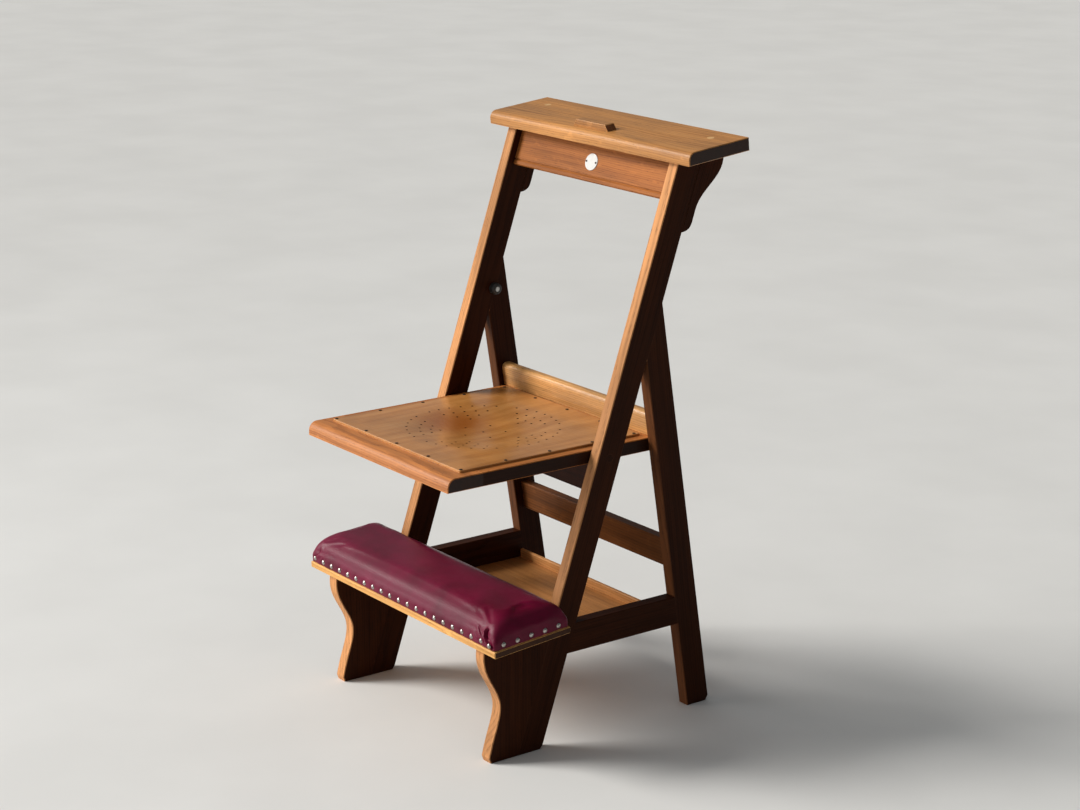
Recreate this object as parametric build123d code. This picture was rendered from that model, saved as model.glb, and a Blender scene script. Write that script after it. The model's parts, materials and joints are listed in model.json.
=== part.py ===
from build123d import *
import math
import os

# Wooden church kneeler with a flip-up seat.  Millimetres, +Z up, floor at Z = 0, mirror plane X = 0.
# The kneeling side is -Y.  Each side frame is a leaning front rail, a shorter rear leg, a side
# stretcher, a scroll-cut foot panel and a corbel bracket, all in one plane and of one thickness.

# --- side frames -----------------------------------------------------------------------------
FRAME_HALF_WIDTH = 210.5
STOCK = 21.0
INNER = FRAME_HALF_WIDTH - STOCK
RAIL_SLOPE = 0.333
RAIL_FRONT_AT_FLOOR = -142.3
RAIL_DEPTH = 44.8
LEG_SLOPE = 0.169
LEG_FRONT_AT_FLOOR = 189.8
LEG_DEPTH = 43.6
FLOOR_CHAMFER = 6.0
EASE = 1.2
STRETCHER_BOTTOM = 142.0
STRETCHER_TOP = 188.0

# --- top shelf, brackets and apron -----------------------------------------------------------
SHELF_HALF_WIDTH = 247.5
SHELF_TILT = 6.3
SHELF_DEPTH = 117.0
SHELF_THICKNESS = 20.0
SHELF_FRONT_Y = 136.6
SHELF_FRONT_UNDERSIDE_Z = 867.3
SHELF_NOSE_RADIUS = 12.0
BRACKET_BACK_Y = 234.0
BRACKET_NOSE_Z = 762.0
APRON_BOTTOM = 808.0
APRON_RECESS = 13.4
APRON_THICKNESS = 19.0
BEAD_HEIGHT = 9.0
BEAD_EASE = 2.5
QUIRK_DEPTH = 2.2
QUIRK_WIDTH = 2.0
BOOK_STOP_CENTRE_X = -6.0
BOOK_STOP_LENGTH = 84.0
BOOK_STOP_DEPTH = 17.0
BOOK_STOP_HEIGHT = 10.0
BOOK_STOP_BEVEL = 6.0
BOOK_STOP_SETBACK = 18.0
PLATE_WIDTH = 29.0
PLATE_HEIGHT = 26.5
PLATE_THICKNESS = 1.2
PLATE_Z = 838.0
PLATE_PIN_X = 11.3
PLATE_PIN_RADIUS = 0.8
PLATE_PIN_HEAD_RADIUS = 1.7
PLATE_PIN_HEAD_HEIGHT = 0.9
PLATE_HOLE_DEPTH = 9.0

# --- cross rails between the rear legs ---------------------------------------------------------
UPPER_RAIL_FRONT_Y = 124.5
UPPER_RAIL_THICKNESS = 17.0
UPPER_RAIL_TOP = 484.0
UPPER_RAIL_NOSE = 8.0
MID_RAIL_FRONT_Y = 162.5
MID_RAIL_THICKNESS = 18.0
MID_RAIL_BOTTOM = 227.0
MID_RAIL_TOP = 274.0

# --- storage shelf under the seat --------------------------------------------------------------
STORAGE_HALF_WIDTH = 200.0
STORAGE_THICKNESS = 4.0
STORAGE_FRONT_Y = -49.5
STORAGE_BACK_Y = 165.0
LIP_THICKNESS = 6.6
LIP_HEIGHT = 14.0

# --- kneeler -----------------------------------------------------------------------------------
KNEELER_HALF_WIDTH = 250.5
KNEELER_FRONT_Y = -215.0
KNEELER_TOP_Z = 193.0
KNEELER_TILT = 4.3
KNEELER_DEPTH = 139.0
KNEELER_THICKNESS = 10.0
PAD_HALF_WIDTH = 249.5
PAD_DEPTH = 136.5
PAD_HEIGHT = 45.0
PAD_EDGE_RADIUS = 20.0
PAD_CORNER_RADIUS = 6.0
PAD_SETBACK = 1.0
COVER_THICKNESS = 1.6
PAD_BOARD_THICKNESS = 14.0
NAIL_HEAD_RADIUS = 4.0
NAIL_HEAD_HEIGHT = 2.4
NAIL_SHANK_RADIUS = 0.9
NAIL_SHANK_LENGTH = 13.0
NAIL_ROW_HEIGHT = 7.5
FRONT_NAILS = 21
FRONT_NAIL_HALF_SPAN = 238.0
SIDE_NAILS = 5
SIDE_NAIL_FIRST = 17.0
SIDE_NAIL_PITCH = 25.0

# --- seat --------------------------------------------------------------------------------------
SEAT_HALF_WIDTH = 188.0
SEAT_FRONT_Y = -252.7
SEAT_BACK_Y = 138.0
SEAT_TOP = 446.0
SEAT_THICKNESS = 21.0
SEAT_FRONT_RAIL_DEPTH = 62.0
SEAT_SIDE_RAIL_WIDTH = 45.0
SEAT_REAR_RAIL_DEPTH = 56.0
SEAT_NOSE_RADIUS = 14.0
STOP_GAP = 0.4
PANEL_HALF_WIDTH = 170.7
PANEL_FRONT_Y = -219.5
PANEL_BACK_Y = 116.0
PANEL_THICKNESS = 3.5
DISH_CENTRE_Y = -55.0
DISH_DEPTH = 9.4
DISH_SPHERE_RADIUS = 760.0
DISH_RIM_RADIUS = 136.0
PERFORATION_RADIUS = 1.7
# each of the five leaf-shaped groups: (circle radius, holes, angle between holes)
LEAF_ROWS = [(118.0, 7, 9.3), (97.5, 5, 10.8), (80.5, 3, 12.7), (66.0, 1, 0.0)]
ROSETTE_RADIUS = 34.0
SEAT_NAILS_PER_SIDE = 5
SEAT_NAIL_INSET = 4.6
SEAT_NAIL_BACK_Y = 107.0
SEAT_NAIL_HEAD_RADIUS = 2.6
SEAT_NAIL_HEAD_HEIGHT = 0.9
SEAT_NAIL_SHANK_RADIUS = 0.9
SEAT_NAIL_LENGTH = 16.0
BEARER_FRONT_Y = 9.0
BEARER_BOTTOM = 378.0
BEARER_HALF_LENGTH = 186.0
BEARER_SCREW_X = 149.5
BEARER_COUNTERBORE_DEPTH = 24.0
BEARER_COUNTERBORE_RADIUS = 5.0

# --- seat pivots and buffers -------------------------------------------------------------------
PIVOT_Z = SEAT_TOP - SEAT_THICKNESS / 2
PIVOT_Y = RAIL_FRONT_AT_FLOOR + RAIL_DEPTH / 2 + RAIL_SLOPE * PIVOT_Z
PIN_RADIUS = 4.0
PIN_INNER_END_X = 171.0
PIVOT_PLUG_RADIUS = 6.0
PIVOT_PLUG_LENGTH = 5.0
BUSH_RADIUS = 5.5
BUSH_INNER_END_X = 170.0
RUNNING_CLEARANCE = 0.05
WASHER_RADIUS = 9.0
WASHER_THICKNESS = 1.0
BUFFER_Y = 102.1
BUFFER_Z = 610.4
BUFFER_RADIUS = 9.5
BUFFER_LENGTH = 11.5
BUFFER_HOLLOW_RADIUS = 4.4
BUFFER_HOLLOW_DEPTH = 3.0

# --- hidden joinery and fasteners ----------------------------------------------------------------
DOWEL_RADIUS = 4.0
DOWEL_HALF_LENGTH = 14.0
GLUE_GAP = 0.02
END_GAP = 0.5
SCREW_RADIUS = 2.2
SCREW_HEAD_THICKNESS = 3.0
SCREW_X = FRAME_HALF_WIDTH - STOCK / 2
SHELF_SCREW_Y = 219.0
SHELF_SCREW_REACH = 25.0
SHELF_SCREW_HEAD_RADIUS = 4.0
SHELF_PLUG_RADIUS = 5.5
SHELF_PLUG_DEPTH = 5.0
KNEELER_SCREW_ROWS = (35.0, 105.0)
KNEELER_SCREW_REACH = 38.0
PAD_SCREW_RADIUS = 2.0
PAD_SCREW_COLUMNS = (-150.0, 0.0, 150.0)
PAD_SCREW_ROWS = (30.0, 105.0)
PAD_SCREW_REACH = 11.0
BUFFER_SCREW_RADIUS = 1.8
BUFFER_SCREW_REACH = 14.0
BUFFER_SCREW_HEAD_RADIUS = 4.0
BUFFER_SCREW_HEAD_THICKNESS = 2.2
STORAGE_NAIL_YS = (-30.0, 15.0, 60.0, 105.0, 150.0)
STORAGE_NAIL_RADIUS = 0.8
STORAGE_NAIL_LENGTH = 18.0
STORAGE_NAIL_HEAD_RADIUS = 2.2
STORAGE_NAIL_HEAD_THICKNESS = 0.8
STORAGE_NAIL_INSET = 5.0

SIDES = {"left": -1, "right": 1}
rail_angle = math.degrees(math.atan(RAIL_SLOPE))
os.makedirs("parts", exist_ok=True)
nodes = {}


# --- helpers ---------------------------------------------------------------------------------------
def rail_front(z):
    return RAIL_FRONT_AT_FLOOR + RAIL_SLOPE * z


def rail_back(z):
    return rail_front(z) + RAIL_DEPTH


def leg_front(z):
    return LEG_FRONT_AT_FLOOR - LEG_SLOPE * z


def leg_back(z):
    return leg_front(z) + LEG_DEPTH


def shelf_underside(y):
    return SHELF_FRONT_UNDERSIDE_Z + math.tan(math.radians(SHELF_TILT)) * (y - SHELF_FRONT_Y)


def rail_line_at_shelf(y_at_floor):
    """Point where a line parallel to the rail, starting at y_at_floor, meets the shelf's underside."""
    rise = math.tan(math.radians(SHELF_TILT))
    z = (SHELF_FRONT_UNDERSIDE_Z + rise * (y_at_floor - SHELF_FRONT_Y)) / (1 - rise * RAIL_SLOPE)
    return (y_at_floor + RAIL_SLOPE * z, z)


def kneeler_underside(y):
    drop = KNEELER_THICKNESS / math.cos(math.radians(KNEELER_TILT))
    return KNEELER_TOP_Z - drop + math.tan(math.radians(KNEELER_TILT)) * (y - KNEELER_FRONT_Y)


def prism(curve, x0, x1):
    """Extrude a closed (y, z) outline from x0 to x1."""
    return extrude(Plane.YZ.offset(x0) * make_face(curve), x1 - x0)


def poly_prism(points, x0, x1):
    return prism(Polyline(*points, close=True), x0, x1)


def rod(start, end, radius):
    """Cylinder between two points."""
    axis = Vector(*end) - Vector(*start)
    return extrude(Plane(origin=start, z_dir=axis) * Circle(radius), axis.length)


def side_span(side):
    """X range of a side frame member: the left frame is at -X."""
    low = INNER if side > 0 else -FRAME_HALF_WIDTH
    return low, low + STOCK


def mirror_x(shape):
    return mirror(shape, about=Plane.YZ)


def with_mirror(shapes):
    return shapes + [mirror_x(shape) for shape in shapes]


def add(name, shape):
    nodes[name] = shape


# --- side frame blank: one flat outline, eased all round, then cut into its members -------------
rail_top_front = rail_line_at_shelf(RAIL_FRONT_AT_FLOOR)
rail_top_back = rail_line_at_shelf(RAIL_FRONT_AT_FLOOR + RAIL_DEPTH)
rail_outline = [
    (RAIL_FRONT_AT_FLOOR, 0),
    (rail_back(0) - FLOOR_CHAMFER / 2, 0),
    (rail_back(FLOOR_CHAMFER), FLOOR_CHAMFER),
    rail_top_back,
    rail_top_front,
]
fork_z = (LEG_FRONT_AT_FLOOR - rail_back(0)) / (RAIL_SLOPE + LEG_SLOPE)
kink_z = (LEG_FRONT_AT_FLOOR + LEG_DEPTH - rail_back(0)) / (RAIL_SLOPE + LEG_SLOPE)
leg_outline = [
    (leg_front(0), 0),
    (leg_back(0) - FLOOR_CHAMFER, 0),
    (leg_back(FLOOR_CHAMFER + 2), FLOOR_CHAMFER + 2),
    (leg_back(kink_z), kink_z),
    (leg_front(fork_z), fork_z),
]
stretcher_outline = [
    (rail_back(STRETCHER_BOTTOM), STRETCHER_BOTTOM),
    (leg_front(STRETCHER_BOTTOM), STRETCHER_BOTTOM),
    (leg_front(STRETCHER_TOP), STRETCHER_TOP),
    (rail_back(STRETCHER_TOP), STRETCHER_TOP),
]


def foot_curve():
    """Scroll-cut foot: bulges under the kneeler, waists in, and spreads again at the toe."""
    top_front = (-204.0, kneeler_underside(-204.0))
    top_back_z = kneeler_underside(rail_front(KNEELER_TOP_Z))
    top_back = (rail_front(top_back_z), top_back_z)
    scroll = Spline(top_front, (-198.5, 140.0), (-176.0, 91.0), (-185.0, 44.0), (-195.0, 8.0))
    toe = Line((-195.0, 8.0), (-192.0, 0.0))
    sole = Line((-192.0, 0.0), (RAIL_FRONT_AT_FLOOR, 0.0))
    back = Line((RAIL_FRONT_AT_FLOOR, 0.0), top_back)
    top = Line(top_back, top_front)
    return Curve() + [scroll, toe, sole, back, top]


def bracket_curve():
    """Ogee corbel: hollow below, full above, with a small rounded nose on the rail."""
    nose = (rail_back(BRACKET_NOSE_Z), BRACKET_NOSE_Z)
    heel = (BRACKET_BACK_Y, 866.0)
    heel_top = (BRACKET_BACK_Y, shelf_underside(BRACKET_BACK_Y))
    ogee = Spline(heel, (224.0, 843.5), (203.0, 823.0), (184.0, 800.0), (175.0, 775.0), nose,
                  tangents=[(-0.1, -1), (-1, -0.1)])
    return Curve() + [Line(nose, rail_top_back), Line(rail_top_back, heel_top), Line(heel_top, heel), ogee]


side_low, side_high = side_span(SIDES["right"])
cutters = {
    "rail": poly_prism(rail_outline, side_low, side_high),
    "rear_leg": poly_prism(leg_outline, side_low, side_high),
    "side_stretcher": poly_prism(stretcher_outline, side_low, side_high),
    "foot_panel": prism(foot_curve(), side_low, side_high),
}
blank = Part() + list(cutters.values())
blank = chamfer(blank.edges().filter_by(Axis.X, reverse=True), EASE)
bracket = prism(bracket_curve(), side_low, side_high)


# --- hidden dowels of the frame -------------------------------------------------------------------
def dowel(centre, direction, radius, extra):
    """Cylinder of a dowel, or of its hole when extra is the gap at each end."""
    reach = Vector(*direction).normalized() * (DOWEL_HALF_LENGTH + extra)
    middle = Vector(*centre)
    return rod(tuple(middle - reach), tuple(middle + reach), radius)


def right_dowel_places():
    """(centre, direction) of every dowel of the right side frame."""
    middle_x = FRAME_HALF_WIDTH - STOCK / 2
    along_y = (0, 1, 0)
    along_x = (1, 0, 0)
    across_rail = (0, 1, -RAIL_SLOPE)
    places = []
    for z in (STRETCHER_BOTTOM + 12, STRETCHER_TOP - 12):
        places.append(((middle_x, rail_back(z), z), along_y))
        places.append(((middle_x, leg_front(z), z), along_y))
    for z in (fork_z + 28, kink_z - 20):
        places.append(((middle_x, rail_back(z), z), across_rail))
    for z in (APRON_BOTTOM + 16, APRON_BOTTOM + 46):
        y = rail_front(z) + APRON_RECESS + APRON_THICKNESS / 2
        places.append(((INNER, y, z), along_x))
    for z in (SEAT_TOP + 11, UPPER_RAIL_TOP - 11):
        places.append(((INNER, upper_rail_face(z) + UPPER_RAIL_THICKNESS / 2, z), along_x))
    for z in (MID_RAIL_BOTTOM + 12, MID_RAIL_TOP - 12):
        places.append(((INNER, mid_rail_face(z) + MID_RAIL_THICKNESS / 2, z), along_x))
    return places


def upper_rail_face(z):
    return UPPER_RAIL_FRONT_Y - LEG_SLOPE * (z - SEAT_TOP)


def mid_rail_face(z):
    middle = (MID_RAIL_BOTTOM + MID_RAIL_TOP) / 2
    return MID_RAIL_FRONT_Y - LEG_SLOPE * (z - middle)


dowel_holes = with_mirror([dowel(c, d, DOWEL_RADIUS, END_GAP) for c, d in right_dowel_places()])
frame_dowels = with_mirror([dowel(c, d, DOWEL_RADIUS - GLUE_GAP, 0) for c, d in right_dowel_places()])
add("frame_dowels", Compound(frame_dowels))


# --- seat pivots: a pin fixed in each rail turns in a bush in the seat -----------------------------
def pivot_point(x):
    return (x, PIVOT_Y, PIVOT_Z)


plug_inner_x = FRAME_HALF_WIDTH - PIVOT_PLUG_LENGTH
pin_hole = rod(pivot_point(INNER - 1), pivot_point(plug_inner_x), PIN_RADIUS)
plug_hole = rod(pivot_point(plug_inner_x), pivot_point(FRAME_HALF_WIDTH), PIVOT_PLUG_RADIUS)
plug_body = rod(pivot_point(plug_inner_x), pivot_point(FRAME_HALF_WIDTH), PIVOT_PLUG_RADIUS - GLUE_GAP)
pin_body = rod(pivot_point(PIN_INNER_END_X), pivot_point(plug_inner_x), PIN_RADIUS)
washer_ring = rod(pivot_point(INNER - WASHER_THICKNESS), pivot_point(INNER), WASHER_RADIUS)
washer_ring -= rod(pivot_point(INNER - 2), pivot_point(INNER + 1), PIN_RADIUS)
bush_hole = rod(pivot_point(BUSH_INNER_END_X), pivot_point(SEAT_HALF_WIDTH), BUSH_RADIUS)
bush_bore = rod(pivot_point(BUSH_INNER_END_X), pivot_point(SEAT_HALF_WIDTH), PIN_RADIUS + RUNNING_CLEARANCE)
bush_body = rod(pivot_point(BUSH_INNER_END_X), pivot_point(SEAT_HALF_WIDTH), BUSH_RADIUS - GLUE_GAP)
bush_body -= bush_bore

for piece, shape in {
    "pivot_pin": pin_body,
    "pivot_plug": plug_body,
    "pivot_washer": washer_ring,
    "pivot_bush": bush_body,
}.items():
    add("right_" + piece, shape)
    add("left_" + piece, mirror_x(shape))


# --- rubber buffers that the raised seat leans on ----------------------------------------------------
def buffer_ring():
    """Turned rubber stud with a round nose and a hollow for its screw head."""
    shoulder = BUFFER_LENGTH - 5.0
    hollow = BUFFER_LENGTH - BUFFER_HOLLOW_DEPTH
    nose = (BUFFER_RADIUS - 1.4, BUFFER_LENGTH - 1.5)
    mouth = (BUFFER_HOLLOW_RADIUS, BUFFER_LENGTH)
    outline = Curve() + [
        Line((BUFFER_SCREW_RADIUS, 0), (BUFFER_RADIUS, 0)),
        Line((BUFFER_RADIUS, 0), (BUFFER_RADIUS, shoulder)),
        ThreePointArc((BUFFER_RADIUS, shoulder), nose, mouth),
        Line(mouth, (BUFFER_HOLLOW_RADIUS, hollow)),
        Line((BUFFER_HOLLOW_RADIUS, hollow), (BUFFER_SCREW_RADIUS, hollow)),
        Line((BUFFER_SCREW_RADIUS, hollow), (BUFFER_SCREW_RADIUS, 0)),
    ]
    turned = revolve(Plane.XZ * make_face(outline), Axis.Z)
    return Location((INNER, BUFFER_Y, BUFFER_Z)) * Rotation(0, -90, 0) * turned


def buffer_point(x):
    return (x, BUFFER_Y, BUFFER_Z)


def buffer_screw():
    head_base = INNER - BUFFER_LENGTH + BUFFER_HOLLOW_DEPTH
    head_top = head_base - BUFFER_SCREW_HEAD_THICKNESS
    head = rod(buffer_point(head_top), buffer_point(head_base), BUFFER_SCREW_HEAD_RADIUS)
    point = buffer_point(INNER + BUFFER_SCREW_REACH)
    return head + rod(buffer_point(head_base), point, BUFFER_SCREW_RADIUS - GLUE_GAP)


buffer_hole_end = buffer_point(INNER + BUFFER_SCREW_REACH + END_GAP)
buffer_screw_hole = rod(buffer_point(INNER), buffer_hole_end, BUFFER_SCREW_RADIUS)
add("right_seat_buffer", buffer_ring())
add("left_seat_buffer", mirror_x(nodes["right_seat_buffer"]))
add("buffer_screws", Compound(with_mirror([buffer_screw()])))

# --- screws under the shelf's plugs -----------------------------------------------------------------
shelf_place = Location((0, SHELF_FRONT_Y, SHELF_FRONT_UNDERSIDE_Z)) * Rotation(SHELF_TILT, 0, 0)
screw_along = (SHELF_SCREW_Y - SHELF_FRONT_Y) / math.cos(math.radians(SHELF_TILT))
plug_floor = SHELF_THICKNESS - SHELF_PLUG_DEPTH
head_floor = plug_floor - SCREW_HEAD_THICKNESS - END_GAP


def shelf_rod(low, high, radius):
    """Cylinder square to the shelf at its screw, with low and high measured from the underside."""
    body = extrude(Plane.XY.offset(low) * Pos(SCREW_X, screw_along) * Circle(radius), high - low)
    return shelf_place * body


shelf_plug = shelf_rod(plug_floor, SHELF_THICKNESS, SHELF_PLUG_RADIUS - GLUE_GAP)
shelf_plug_hole = shelf_rod(head_floor, SHELF_THICKNESS, SHELF_PLUG_RADIUS)
shelf_screw = shelf_rod(head_floor, head_floor + SCREW_HEAD_THICKNESS, SHELF_SCREW_HEAD_RADIUS)
shelf_screw += shelf_rod(-SHELF_SCREW_REACH, head_floor, SCREW_RADIUS - GLUE_GAP)
shelf_screw_hole = shelf_rod(-SHELF_SCREW_REACH - END_GAP, head_floor, SCREW_RADIUS)
add("shelf_plugs", Compound(with_mirror([shelf_plug])))
add("shelf_screws", Compound(with_mirror([shelf_screw])))


# --- screws of the kneeler board and its pad --------------------------------------------------------
kneeler_place = Location((0, KNEELER_FRONT_Y, KNEELER_TOP_Z)) * Rotation(KNEELER_TILT, 0, 0)


def kneeler_rod(x, y, low, high, radius):
    """Cylinder square to the kneeler board, with low and high measured from its top face."""
    body = extrude(Plane.XY.offset(low) * Pos(x, y) * Circle(radius), high - low)
    return kneeler_place * body


def wood_screw(x, y, head_face, point, radius):
    """Flat-headed screw square to the kneeler board, from its head's face to its point."""
    inward = 1 if point > head_face else -1
    shank_start = head_face + inward * SCREW_HEAD_THICKNESS
    low, high = sorted((shank_start, point))
    head_low, head_high = sorted((head_face, shank_start))
    return kneeler_rod(x, y, head_low, head_high, radius * 2) + kneeler_rod(x, y, low, high, radius)


def board_screw(x, y, trim, tip_gap):
    """Screw down through the kneeler board into the side frame."""
    return wood_screw(x, y, 0.0, -KNEELER_SCREW_REACH - tip_gap, SCREW_RADIUS - trim)


def pad_screw(x, y, trim, tip_gap):
    """Screw up through the kneeler board into the pad's base board."""
    return wood_screw(x, y, -KNEELER_THICKNESS, PAD_SCREW_REACH + tip_gap, PAD_SCREW_RADIUS - trim)


board_screw_spots = [(s * SCREW_X, y) for s in SIDES.values() for y in KNEELER_SCREW_ROWS]
board_screw_holes = [board_screw(x, y, 0, END_GAP) for x, y in board_screw_spots]
pad_screw_spots = [(x, y) for x in PAD_SCREW_COLUMNS for y in PAD_SCREW_ROWS]
pad_screw_holes = [pad_screw(x, y, 0, END_GAP) for x, y in pad_screw_spots]
add("kneeler_board_screws", Compound([board_screw(x, y, GLUE_GAP, 0) for x, y in board_screw_spots]))
add("pad_screws", Compound([pad_screw(x, y, GLUE_GAP, 0) for x, y in pad_screw_spots]))


# --- nails of the storage board ---------------------------------------------------------------------
def storage_nail(x, y, trim):
    bottom = STRETCHER_BOTTOM - STORAGE_THICKNESS
    top = bottom + STORAGE_NAIL_LENGTH
    shank = rod((x, y, bottom), (x, y, top), STORAGE_NAIL_RADIUS - trim)
    return shank + rod((x, y, bottom - STORAGE_NAIL_HEAD_THICKNESS), (x, y, bottom), STORAGE_NAIL_HEAD_RADIUS)


nail_spots = [(s * (INNER + STORAGE_NAIL_INSET), y) for s in SIDES.values() for y in STORAGE_NAIL_YS]
storage_nail_holes = [storage_nail(x, y, 0) for x, y in nail_spots]
add("storage_board_nails", Compound([storage_nail(x, y, GLUE_GAP / 2) for x, y in nail_spots]))


# --- side frame members ---------------------------------------------------------------------------
right_holes = dowel_holes + board_screw_holes + storage_nail_holes
right_holes += [pin_hole, plug_hole, buffer_screw_hole, shelf_screw_hole]

side_members = {member: blank & cutter for member, cutter in cutters.items()}
side_members["shelf_bracket"] = bracket
for member, shape in side_members.items():
    drilled = shape - right_holes
    add("right_" + member, drilled)
    add("left_" + member, mirror_x(drilled))


# --- top shelf --------------------------------------------------------------------------------------
def top_shelf():
    board = Box(2 * SHELF_HALF_WIDTH, SHELF_DEPTH, SHELF_THICKNESS)
    board = Pos(0, SHELF_DEPTH / 2, SHELF_THICKNESS / 2) * board
    long_edges = board.edges().filter_by(Axis.X).sort_by(Axis.Y)
    nose = long_edges[:2].sort_by(Axis.Z)[-1]
    board = fillet(nose, SHELF_NOSE_RADIUS)
    board = chamfer(board.faces().sort_by(Axis.X)[-1].edges(), EASE)
    board = chamfer(board.faces().sort_by(Axis.X)[0].edges(), EASE)
    placed = shelf_place * board
    return placed - with_mirror([shelf_plug_hole, shelf_screw_hole])


add("top_shelf", top_shelf())


def book_stop():
    half = BOOK_STOP_LENGTH / 2
    outline = Polyline(
        (-half, 0),
        (half, 0),
        (half - BOOK_STOP_BEVEL, BOOK_STOP_HEIGHT),
        (-half + BOOK_STOP_BEVEL, BOOK_STOP_HEIGHT),
        close=True,
    )
    bar = extrude(Plane.XZ * make_face(outline), -BOOK_STOP_DEPTH)
    bar = chamfer(bar.faces().sort_by(Axis.Z)[-1].edges(), EASE)
    return shelf_place * Pos(BOOK_STOP_CENTRE_X, BOOK_STOP_SETBACK, SHELF_THICKNESS) * bar


add("book_stop", book_stop())


# --- apron with its run moulding and the blank enamel plate --------------------------------------------
def apron():
    """Board parallel to the rails, with a quirk and a bead along its lower edge."""
    front_floor = RAIL_FRONT_AT_FLOOR + APRON_RECESS
    bead_top = APRON_BOTTOM + BEAD_HEIGHT

    def behind_front(depth, z):
        return (front_floor + depth + RAIL_SLOPE * z, z)

    outline = Polyline(
        rail_line_at_shelf(front_floor),
        behind_front(0, bead_top + QUIRK_WIDTH),
        behind_front(QUIRK_DEPTH, bead_top + QUIRK_WIDTH - 0.4),
        behind_front(QUIRK_DEPTH, bead_top),
        behind_front(0, bead_top - QUIRK_WIDTH),
        behind_front(0, APRON_BOTTOM + BEAD_EASE),
        behind_front(BEAD_EASE, APRON_BOTTOM),
        behind_front(APRON_THICKNESS, APRON_BOTTOM),
        rail_line_at_shelf(front_floor + APRON_THICKNESS),
        close=True,
    )
    return prism(outline, -INNER, INNER)


plate_place = Location((0, rail_front(PLATE_Z) + APRON_RECESS, PLATE_Z)) * Rotation(90 - rail_angle, 0, 0)
plate_pin_spots = [Pos(-PLATE_PIN_X, 0), Pos(PLATE_PIN_X, 0)]
plate_hole_length = PLATE_HOLE_DEPTH + 2 * PLATE_THICKNESS
plate_hole_floor = Plane.XY.offset(-PLATE_HOLE_DEPTH)
plate_shank_holes = [
    plate_place * extrude(plate_hole_floor * spot * Circle(PLATE_PIN_RADIUS), plate_hole_length)
    for spot in plate_pin_spots
]
plate = extrude(Ellipse(PLATE_WIDTH / 2, PLATE_HEIGHT / 2), PLATE_THICKNESS)
plate = fillet(plate.faces().sort_by(Axis.Z)[-1].edges(), 0.7)
add("number_plate", plate_place * plate - plate_shank_holes)


def plate_pin(spot):
    round_head = Plane.XY.offset(PLATE_THICKNESS) * spot * Circle(PLATE_PIN_HEAD_RADIUS)
    head = extrude(round_head, PLATE_PIN_HEAD_HEIGHT)
    head = fillet(head.faces().sort_by(Axis.Z)[-1].edges(), 0.5)
    point = END_GAP - PLATE_HOLE_DEPTH
    round_shank = Plane.XY.offset(point) * spot * Circle(PLATE_PIN_RADIUS - GLUE_GAP / 2)
    return plate_place * (head + extrude(round_shank, PLATE_THICKNESS - point))


add("number_plate_pins", Compound([plate_pin(spot) for spot in plate_pin_spots]))
add("apron", apron() - (dowel_holes + plate_shank_holes))


# --- cross rails between the rear legs -------------------------------------------------------------------
def leaning_rail(front_at, thickness, bottom, top):
    """Rail parallel to the rear legs, with front_at(z) its front face."""
    outline = [(front_at(bottom), bottom), (front_at(bottom) + thickness, bottom)]
    outline += [(front_at(top) + thickness, top), (front_at(top), top)]
    return poly_prism(outline, -INNER, INNER)


def upper_cross_rail():
    """Rail that the seat's back edge rests under, with a rounded top front edge."""
    rail = leaning_rail(upper_rail_face, UPPER_RAIL_THICKNESS, SEAT_TOP + STOP_GAP, UPPER_RAIL_TOP)
    top_edges = rail.edges().filter_by(Axis.X).sort_by(Axis.Z)[-2:].sort_by(Axis.Y)
    rail = fillet(top_edges[0], UPPER_RAIL_NOSE)
    back_edge = rail.edges().filter_by(Axis.X).sort_by(Axis.Y)[-2:].sort_by(Axis.Z)[-1]
    return chamfer(back_edge, 2.0) - dowel_holes


def mid_cross_rail():
    rail = leaning_rail(mid_rail_face, MID_RAIL_THICKNESS, MID_RAIL_BOTTOM, MID_RAIL_TOP)
    return chamfer(rail.edges().filter_by(Axis.X), EASE) - dowel_holes


add("upper_cross_rail", upper_cross_rail())
add("mid_cross_rail", mid_cross_rail())


# --- storage shelf ----------------------------------------------------------------------------------------
def storage_board():
    depth = STORAGE_BACK_Y - STORAGE_FRONT_Y
    board = Box(2 * STORAGE_HALF_WIDTH, depth, STORAGE_THICKNESS)
    middle = (0, (STORAGE_FRONT_Y + STORAGE_BACK_Y) / 2, STRETCHER_BOTTOM - STORAGE_THICKNESS / 2)
    return Pos(*middle) * board - storage_nail_holes


def storage_lip():
    width = 2 * (INNER - 0.3)
    lip = Box(width, LIP_THICKNESS, LIP_HEIGHT)
    lip = fillet(lip.faces().sort_by(Axis.Z)[-1].edges().filter_by(Axis.X), 2.4)
    return Pos(0, STORAGE_BACK_Y - LIP_THICKNESS / 2, STRETCHER_BOTTOM + LIP_HEIGHT / 2) * lip


add("storage_board", storage_board())
add("storage_lip", storage_lip())


# --- kneeler: board, upholstered pad and its nails ------------------------------------------------------
def kneeler_board():
    board = Box(2 * KNEELER_HALF_WIDTH, KNEELER_DEPTH, KNEELER_THICKNESS)
    board = chamfer(board.edges(), EASE)
    placed = kneeler_place * Pos(0, KNEELER_DEPTH / 2, -KNEELER_THICKNESS / 2) * board
    low, high = KNEELER_TOP_Z - 50, KNEELER_TOP_Z + 50
    bevel_outline = [(rail_front(low), low), (rail_front(high), high), (0.0, high), (0.0, low)]
    bevel = poly_prism(bevel_outline, -KNEELER_HALF_WIDTH - 1, KNEELER_HALF_WIDTH + 1)
    return placed - (board_screw_holes + pad_screw_holes + [bevel])


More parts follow.
